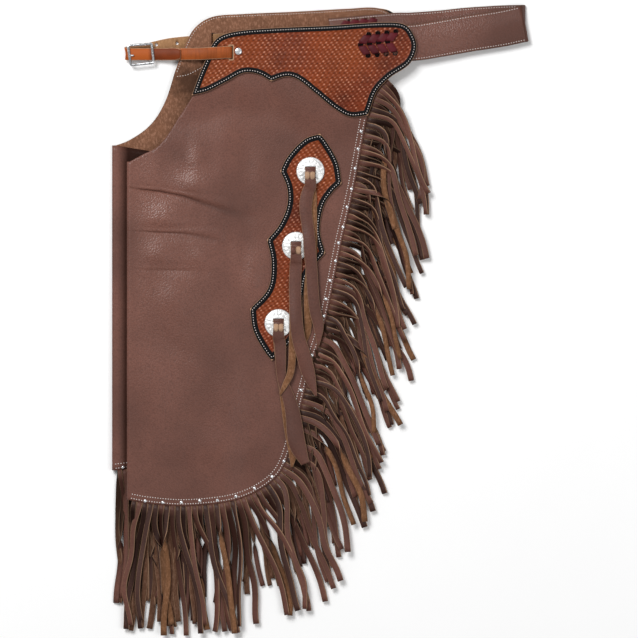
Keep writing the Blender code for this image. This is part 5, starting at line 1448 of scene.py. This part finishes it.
def make_string(number, place, base_z):
    """A concho string: under tail, slot, knot of two turns, and the upper tail over it all."""
    x, y = place
    base = base_z / MM
    way = (1.0, 0.0, 0.0)

    def through(rows, shift=0.0):
        return [(x + (shift + dx), y + dy, base + dz, w) for dx, dy, dz, w in rows]

    shell = Shell()
    under = UNDER_TAILS[number - 1] + through(STRING_IN)
    upper = through(STRING_OUT) + UPPER_TAILS[number - 1]
    strap(shell, under, STRAP_STEP, way, STRING_THICKNESS, *FLAT_EDGE)
    strap(shell, upper, STRAP_STEP, way, STRING_THICKNESS, *STRING_EDGE)
    strap(shell, through(STRING_FILL), FILL_STEP, way, STRING_THICKNESS, *FLAT_EDGE)
    for shift, tan in KNOTS[number - 1]:
        strap(shell, through(KNOT_TURN, shift), KNOT_STEP, way, KNOT_THICKNESS, *KNOT_EDGE,
              [3 if tan and kind < 2 else kind for kind in STRAP_SIDES])
    return shell.build("string_%d_leather" % number,
                       ("strand", "strand_flesh", "strand_cut", "knot"),
                       ["string_%d" % number])


# ---------------------------------------------------------------- the steps
def near_holes():
    """The near slot and rivet hole."""
    return [rectangle(NEAR_SLOT, NEAR_SLOT_SIZE), circle(NEAR_RIVET, RIVET_HOLE)]


def far_holes():
    """The far slot and rivet hole, and the lacing holes that one can see down."""
    return ([rectangle((FAR_SLOT[0] - FAR_SLOT_SHIFT, FAR_SLOT[1]), FAR_SLOT_SIZE),
             circle(FAR_RIVET, RIVET_HOLE)] + [circle(place, OPEN_HOLE) for place in OPEN_FAR])


def lace_places(shift=(0, 0)):
    """The lacing holes (mm), row by row."""
    rows = [[(x + LACE_PITCH[0] * k, y + LACE_PITCH[1] * k) for k in range(LACE_HOLES)]
            for x, y in LACE_FIRST]
    return np.array(rows) + np.array(shift)


class Step(bpy.types.Operator):
    """One step of the garment."""

    bl_options = {"REGISTER", "UNDO"}


class ChinksLegs(Step):
    """Lay the two leg panels with their folded flaps and the fringe along them"""

    bl_idname = "chinks.legs"
    bl_label = "Legs and fringe"

    def execute(self, context):
        near = make_leg("leg_near_leather", (NEAR_CROTCH, NEAR_WAIST, NEAR_SIDE),
                        (near_leg_draped, near_flap_height),
                        near_holes() + [circle(place, OPEN_HOLE) for place in OPEN_NEAR],
                        sizes().panel_step, ("grain", "flesh", "leg_cut"),
                        ["leg_near"], crease_points())
        # Painted highlight, with real polish, where the near leg is rubbed
        paint(near, "polish", polish)
        # Painted shade in the sharper creases
        paint(near, "crease", lambda points: fine_crease(points, 0.0) / CREASE_DARKEST)
        far = make_leg("leg_far_leather", (FAR_CROTCH, FAR_WAIST, FAR_SIDE),
                       (far_leg_height, far_flap_height), far_holes(), sizes().panel_step * 1.8,
                       ("flesh", "flap_grain", "leg_cut"), ["leg_far"])
        side = spline(NEAR_WAIST[-3:] + NEAR_SIDE, 0.01)
        under_near = np.concatenate((side, [(FAR_LEFT, side[-1, 1]), (FAR_LEFT, side[0, 1])]))
        # Painted shade on the far leg's flesh side beyond the near leg's edge, under the near
        # fringe
        paint(far, "covered", lambda points: np.where(
            is_inside(points, under_near) | (points[:, 1] > side[0, 1]), 0.0,
            ramp((edge_distance(points, under_near) - SHADE_FROM) / SHADE_EASE)))

        fringe = ("strand", "strand_flesh", "strand_cut", "strand_dark", "strand_shade_side")
        flipped = ("under_flesh", "strand", "strand_cut", "strand_dark", "strand_shade_side")
        roots = strand_roots(spline(NEAR_EDGE + NEAR_SIDE, EDGE_STEP), NEAR_FRINGE_START,
                             sizes().strands)
        strands = make_fringe("fringe_near_strands", roots, NEAR_FRINGE_ROWS, NEAR_LOOK,
                              near_levels, near_leg_draped, fringe, ["fringe_near"])
        roots = strand_roots(spline(FAR_EDGE + FAR_SIDE, EDGE_STEP), FAR_FRINGE_START,
                             sizes().strands)
        under = make_fringe("fringe_far_strands", roots, FAR_FRINGE_ROWS, FAR_LOOK,
                            flat_levels(*FAR_LEVELS), far_leg_height, flipped,
                            ["fringe_far"])
        for side, fold_x, hem_y, look, levels, height, kinds in (
                ("near", NEAR_FOLD_X, NEAR_HEM_Y, NEAR_FLAP_LOOK, NEAR_FLAP_LEVELS,
                 near_flap_height, flipped),
                ("far", FAR_FOLD_X, FAR_HEM_Y, FAR_FLAP_LOOK, FAR_FLAP_LEVELS, far_flap_height,
                 fringe)):
            edge = np.array([(1, FLAP_HEM_RISE), (0, 0)]) * FLAP_WIDTH + (fold_x, hem_y)
            roots = strand_roots(edge, edge[0] / MM, sizes().flap_strands)
            make_fringe("fringe_%s_flap_strands" % side, roots, FLAP_FRINGE_ROWS,
                                     look, flat_levels(*levels), height, kinds,
                                     ["fringe_%s_flap" % side])
        return {"FINISHED"}


class ChinksYokes(Step):
    """Lay the stamped yokes: one sewn on the near leg, one under the far leg"""

    bl_idname = "chinks.yokes"
    bl_label = "Yokes"

    def execute(self, context):
        laced = [almond(place, *LACE_HOLE, 0.5) for place in lace_places().reshape(-1, 2)]
        near = make_plate("yoke_near_leather", YOKE_LOOP, near_holes() + laced, near_yoke_height,
                          YOKE_THICKNESS, sizes().stamp_step, ["yoke_near"])
        far = make_plate("yoke_far_leather", YOKE_LOOP + np.array(FAR_YOKE_SHIFT), far_holes(),
                         far_yoke_height, YOKE_THICKNESS, sizes().stamp_step * 2.2, ["yoke_far"])
        return {"FINISHED"}


class ChinksPatch(Step):
    """Lay the stamped thigh patch on the near leg"""

    bl_idname = "chinks.patch"
    bl_label = "Thigh patch"

    def execute(self, context):
        piece = make_plate("patch_near_leather", PATCH_LOOP, [], patch_height, PATCH_THICKNESS,
                           sizes().stamp_step, ["patch_near"], 1.1)
        return {"FINISHED"}


def folded(near, far, way, steps=8):
    """Rows of the half round turn between the ends of two runs, one above the other."""
    a, b = np.array(near[:3], float), np.array(far[:3], float)
    middle, half = (a + b) / 2, (a - b) / 2
    bulge = np.array((*way, 0.0)) * np.linalg.norm(half)
    angles = [math.pi * k / steps for k in range(1, steps)]
    return [tuple(middle + half * math.cos(t) + bulge * math.sin(t)) for t in angles]


def arc(x, y, z, radius, angles):
    """Rows of an upright bend about a middle, at some angles."""
    return [(x + radius * math.cos(a), y, z + radius * math.sin(a)) for a in angles]


class ChinksBelt(Step):
    """Make the waist belt, folded at the back of the waist"""

    bl_idname = "chinks.belt"
    bl_label = "Waist belt"

    def execute(self, context):
        rows = BELT_NEAR + folded(BELT_NEAR[-1], BELT_FAR[0], BELT_FOLD_WAY) + BELT_FAR
        shell = Shell()
        strap(shell, [(*row, BELT_WIDTH / MM) for row in rows], BELT_STEP,
              (-BELT_FOLD_WAY[1], BELT_FOLD_WAY[0], 0.0), BELT_THICKNESS, *BELT_EDGE)
        piece = shell.build("belt_leather", ("belt", "belt", "belt_edge"),
                            ["belt"])
        pierce(piece, OPEN_NEAR + OPEN_FAR, OPEN_HOLE)
        # Painted highlight, with real polish, on the belt's rubbed place
        paint(piece, "polish", lambda points: BELT_RUB_AND_HIGHLIGHT
              * np.exp(-((points[:, 0] - BELT_RUB_X) / BELT_RUB_REACH) ** 2))
        return {"FINISHED"}


def over_near_yoke():
    """Height of the near strap's middle where it lies on the yoke (metres)."""
    return height_at(near_yoke_top, NEAR_SLOT) + LAYER_GAP + STRAP_THICKNESS / 2


def front_strap(name, rows, way, tip, grain, node):
    """A front strap through rows (mm); tip is the share of its width that is left at its end."""
    widths = [STRAP_WIDTH / MM] * (len(rows) - 1) + [STRAP_WIDTH / MM * tip]
    shell = Shell()
    strap(shell, [(*row, width) for row, width in zip(rows, widths)], STRAP_STEP, way,
          STRAP_THICKNESS, *STRAP_EDGE)
    return shell.build(name, (grain, "strap_flesh", "cut"), [node])


class ChinksStraps(Step):
    """Make the two front straps: the near one and the billet that is folded round the buckle"""

    bl_idname = "chinks.straps"
    bl_label = "Front straps"

    def execute(self, context):
        radius = STRAP_BEND_RADIUS / MM
        top = over_near_yoke() / MM
        x, y = NEAR_SLOT
        rows = STRAP_NEAR + [(px, py, top - drop) for px, py, drop in STRAP_OVER_YOKE]
        rows += [(x - radius - STRAP_RUN, y, top)]
        rows += arc(x - radius, y, top - radius, radius, (1.57, 1.05, 0.52, 0.0))
        rows += [(x, y, top - radius - TAB_DEPTH)]
        near = front_strap("strap_near_leather", rows, (0.0, 1.0, 0.0), 1.0, "strap",
                           "strap_near")

        tail = (height_at(far_leg_top, FAR_SLOT) + LAYER_GAP + STRAP_THICKNESS / 2) / MM
        low = STRAP_THICKNESS / 2 / MM
        x, y = FAR_SLOT
        rows = [(FAR_STRAP_END, y, tail), (x + radius + STRAP_RUN, y, tail)]
        rows += arc(x + radius, y, tail - radius, radius, (1.57, 2.09, 2.62, 3.14))
        rows += arc(x - radius, y, low + radius, radius, (0.0, -0.52, -1.05, -1.57))
        rows += BILLET_RUN + folded(BILLET_RUN[-1], BILLET_BACK[0], BILLET_FOLD_WAY) + BILLET_BACK
        far = front_strap("strap_far_leather", rows, (BILLET_FOLD_WAY[1], -BILLET_FOLD_WAY[0], 0.0),
                          BILLET_TIP, "billet", "strap_far")
        pierce(far, BILLET_HOLES, BILLET_HOLE)
        paint(far, "covered", lambda points: TAIL_SHADE * (
            (points[:, 0] > FAR_SLOT[0] * MM) & (points[:, 1] > TAIL_SHADE_Y)))
        return {"FINISHED"}


class ChinksBuckle(Step):
    """Make the buckle, its tongue and the two rivets"""

    bl_idname = "chinks.buckle"
    bl_label = "Buckle and rivets"

    def execute(self, context):
        shell = Shell()
        closed_wire(shell, BUCKLE_CORNERS, BUCKLE_HEIGHT, *BUCKLE_WIRE)
        shell.build("buckle_frame_wire", ("buckle",), ["buckle_frame"])
        x, y = (np.array(BUCKLE_CORNERS[0]) + np.array(BUCKLE_CORNERS[3])) / 2
        z = BUCKLE_HEIGHT / MM
        path = np.array([(x + dx, y, z + dz) for dx, dz in TONGUE]) * MM
        side, up = across(path, np.array((0.0, 1.0, 0.0)))
        angle = -np.arange(10) * 2 * math.pi / 10
        section = np.stack((0.0 * angle, np.cos(angle) * TONGUE_RADIUS,
                            np.sin(angle) * TONGUE_RADIUS), 1)
        shell = Shell()
        sweep(shell, path, side, up, np.ones(3), section, [0] * 10)
        shell.build("buckle_tongue_pin", ("chrome",), ["buckle_tongue"])
        shell = Shell()
        head = over_near_yoke() - STRAP_THICKNESS / 2 + SEAM_GAP
        upright(shell, turned_form(RIVET_HEAD, 28), [(*(np.array(NEAR_RIVET) * MM), head)])
        shell.build("rivet_near_cap", ("chrome",), ["rivet_near"])
        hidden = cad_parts["rivet_far"]
        hidden.data.materials.clear()
        hidden.data.materials.append(finish("chrome"))
        return {"FINISHED"}


class ChinksConchos(Step):
    """Make the three conchos and their strings"""

    bl_idname = "chinks.conchos"
    bl_label = "Conchos and strings"

    def execute(self, context):
        for number, place in enumerate(CONCHOS, 1):
            base = height_at(patch_top, place) + SEAM_GAP
            make_concho(number, place, base)
            piece = make_string(number, place, base)
        return {"FINISHED"}


class ChinksLacing(Step):
    """Lace the belt to the yokes with flat burgundy laces"""

    bl_idname = "chinks.lacing"
    bl_label = "Lacing"

    def execute(self, context):
        for side, rows, height in (("near", lace_places(), near_yoke_top),
                                   ("far", lace_places(FAR_LACE_SHIFT), far_belt_top)):
            shell = Shell()
            for a, b in zip(rows[:-1].reshape(-1, 2), rows[1:].reshape(-1, 2)):
                line = [(*(a + (b - a) * t), rise, wide) for t, rise, wide in LACE_ARCH]
                line = [(x, y, height_at(height, (x, y)) / MM + rise, wide)
                        for x, y, rise, wide in line]
                strap(shell, line, LACE_STEP, (1.0, 0.1, 0.0), LACE_THICKNESS, *LACE_EDGE,
                      [0] * len(STRAP_SIDES))
            if side == "near":
                # Dark discs in the other holes: painted shade for their insides
                closed = [place for place in rows.reshape(-1, 2)
                          if min(math.dist(place, spot) for spot in OPEN_NEAR) > OPEN_REACH]
                upright(shell, turned_form(HOLE_DISC, 14),
                        lifted(np.array(closed) * MM, height) - (0, 0, DISC_DEPTH), 1)
            shell.build("lacing_%s_lace" % side, ("lace", "dark"), ["lacing_" + side])
        return {"FINISHED"}


class ChinksStitching(Step):
    """Sew the yoke, the patch, the legs' edges and the belt"""

    bl_idname = "chinks.stitching"
    bl_label = "Stitching"

    def execute(self, context):
        shell = Shell()
        sewn_round(shell, YOKE_LOOP, YOKE_SEAM, near_yoke_top)
        sewn_round(shell, PATCH_LOOP, YOKE_SEAM, patch_top)
        shell.build("stitching_plates", ("thread",))

        shell = Shell()
        edge = spline(NEAR_EDGE + NEAR_SIDE, SEAM_STEP)
        for inset in LEG_SEAMS:
            sew(shell, beside(edge[nearest(edge, NEAR_SEAM_START):], -inset), near_leg_top,
                NEAR_THREAD)
        shell.build("stitching_near_leg", ("thread",))

        shell = Shell()
        edge = spline(FAR_EDGE, SEAM_STEP)
        for path in (beside(edge[:nearest(edge, FAR_SEAM_END)], -LEG_SEAMS[0]),
                     spline(FAR_YOKE_HEM, SEAM_STEP)):
            sew(shell, path, far_leg_top, FAR_THREAD)
        hem = np.array([(0, 0), HEM_SEAM]) + (FAR_FOLD_X, FAR_HEM_Y)
        for inset in LEG_SEAMS:
            sew(shell, beside(hem, inset), far_flap_top)
        shell.build("stitching_far_leg", ("thread",))

        shell = Shell()
        for rows in (BELT_NEAR, BELT_FAR[::-1]):
            line = smooth_rows(rows, BELT_STEP)
            order = np.argsort(line[:, 0])

            def belt_top(points):
                middle = np.interp(points[:, 0], line[order, 0], line[order, 2])
                return middle + BELT_THICKNESS / 2

            for shift in (BELT_SEAM, -BELT_SEAM):
                sew(shell, beside(line[:, :2], shift), belt_top)
        shell.build("stitching_belt", ("thread",))
        return {"FINISHED"}


class ChinksStuds(Step):
    """Set the small studs between the two rows of stitches"""

    bl_idname = "chinks.studs"
    bl_label = "Studs"

    def execute(self, context):
        form = turned_form([(sizes().stud / MM * share, z) for share, z in STUD_HEAD], 16)
        for name, places, top in (("studs_near", STUDS, near_leg_top),
                                  ("stud_far", [FAR_STUD], far_flap_top)):
            flat = np.array(places) * MM
            shell = Shell()
            upright(shell, form, lifted(flat, top))
            shell.build(name, ("chrome",))
        return {"FINISHED"}


def softbox(name, place, target, size, power):
    """A wide soft light that faces a target."""
    light = bpy.data.lights.new(name, "AREA")
    light.shape = "RECTANGLE"
    light.size = light.size_y = size
    light.energy = power
    lamp = add_object(name, light)
    lamp.location = place
    lamp.rotation_euler = (Vector(target) - Vector(place)).to_track_quat("-Z", "Y").to_euler()
    return lamp


class ChinksStage(Step):
    """Set the floor, the soft studio lights and the camera straight above"""

    bl_idname = "chinks.stage"
    bl_label = "Stage"

    def execute(self, context):
        scene = context.scene
        mesh = bpy.data.meshes.new("floor")
        corners = rectangle((0, 0), FLOOR_SIZE)
        mesh.from_pydata([(x, y, FLOOR_Z) for x, y in corners], [], [(0, 1, 2, 3)])
        mesh.materials.append(finish("floor"))
        floor = add_object("floor", mesh)
        lamps = [softbox(*lamp) for lamp in LAMPS]
        world = bpy.data.worlds.new("studio")
        world.use_nodes = True
        sky = world.node_tree.nodes["Background"]
        sky.inputs["Color"].default_value = (1.0, 1.0, 1.0, 1.0)
        sky.inputs["Strength"].default_value = SKY_LIGHT
        scene.world = world
        scene.view_settings.view_transform = "Standard"
        camera = add_object("camera", bpy.data.cameras.new("camera"))
        camera.data.sensor_width = SENSOR_WIDTH
        camera.data.lens = SENSOR_WIDTH * CAMERA_PLACE[2] / FRAME_WIDTH
        camera.location = CAMERA_PLACE
        camera.data.clip_end = 50.0
        scene.camera = camera
        return {"FINISHED"}


# ---------------------------------------------------------------- panel and registration
STEPS = (ChinksLegs, ChinksYokes, ChinksPatch, ChinksBelt, ChinksStraps, ChinksBuckle,
         ChinksConchos, ChinksLacing, ChinksStitching, ChinksStuds, ChinksStage)


class ChinksPanel(bpy.types.Panel):
    """The steps, sizes and colours, in the 3D view's sidebar."""

    bl_idname = "VIEW3D_PT_chinks"
    bl_label = "Leather chinks"
    bl_space_type = "VIEW_3D"
    bl_region_type = "UI"
    bl_category = "Chinks"

    def draw(self, context):
        for step in STEPS:
            self.layout.operator(step.bl_idname)
        for group in (context.scene.chinks_sizes, context.scene.chinks_colours):
            box = self.layout.box()
            for key in group.bl_rna.properties.keys():
                if key not in {"rna_type", "name"}:
                    box.prop(group, key)


CLASSES = (ChinksSizes, ChinksColours, *STEPS, ChinksPanel)


def register():
    for cls in CLASSES:
        bpy.utils.register_class(cls)
    bpy.types.Scene.chinks_sizes = PointerProperty(type=ChinksSizes)
    bpy.types.Scene.chinks_colours = PointerProperty(type=ChinksColours)


def unregister():
    del bpy.types.Scene.chinks_sizes
    del bpy.types.Scene.chinks_colours
    for cls in reversed(CLASSES):
        bpy.utils.unregister_class(cls)


def main():
    """Build the whole garment and its stage."""
    register()
    for step in STEPS:
        group, name = step.bl_idname.split(".")
        if getattr(getattr(bpy.ops, group), name)() != {"FINISHED"}:
            raise RuntimeError(step.bl_label + " wasn't built")


if __name__ == "__main__":
    main()
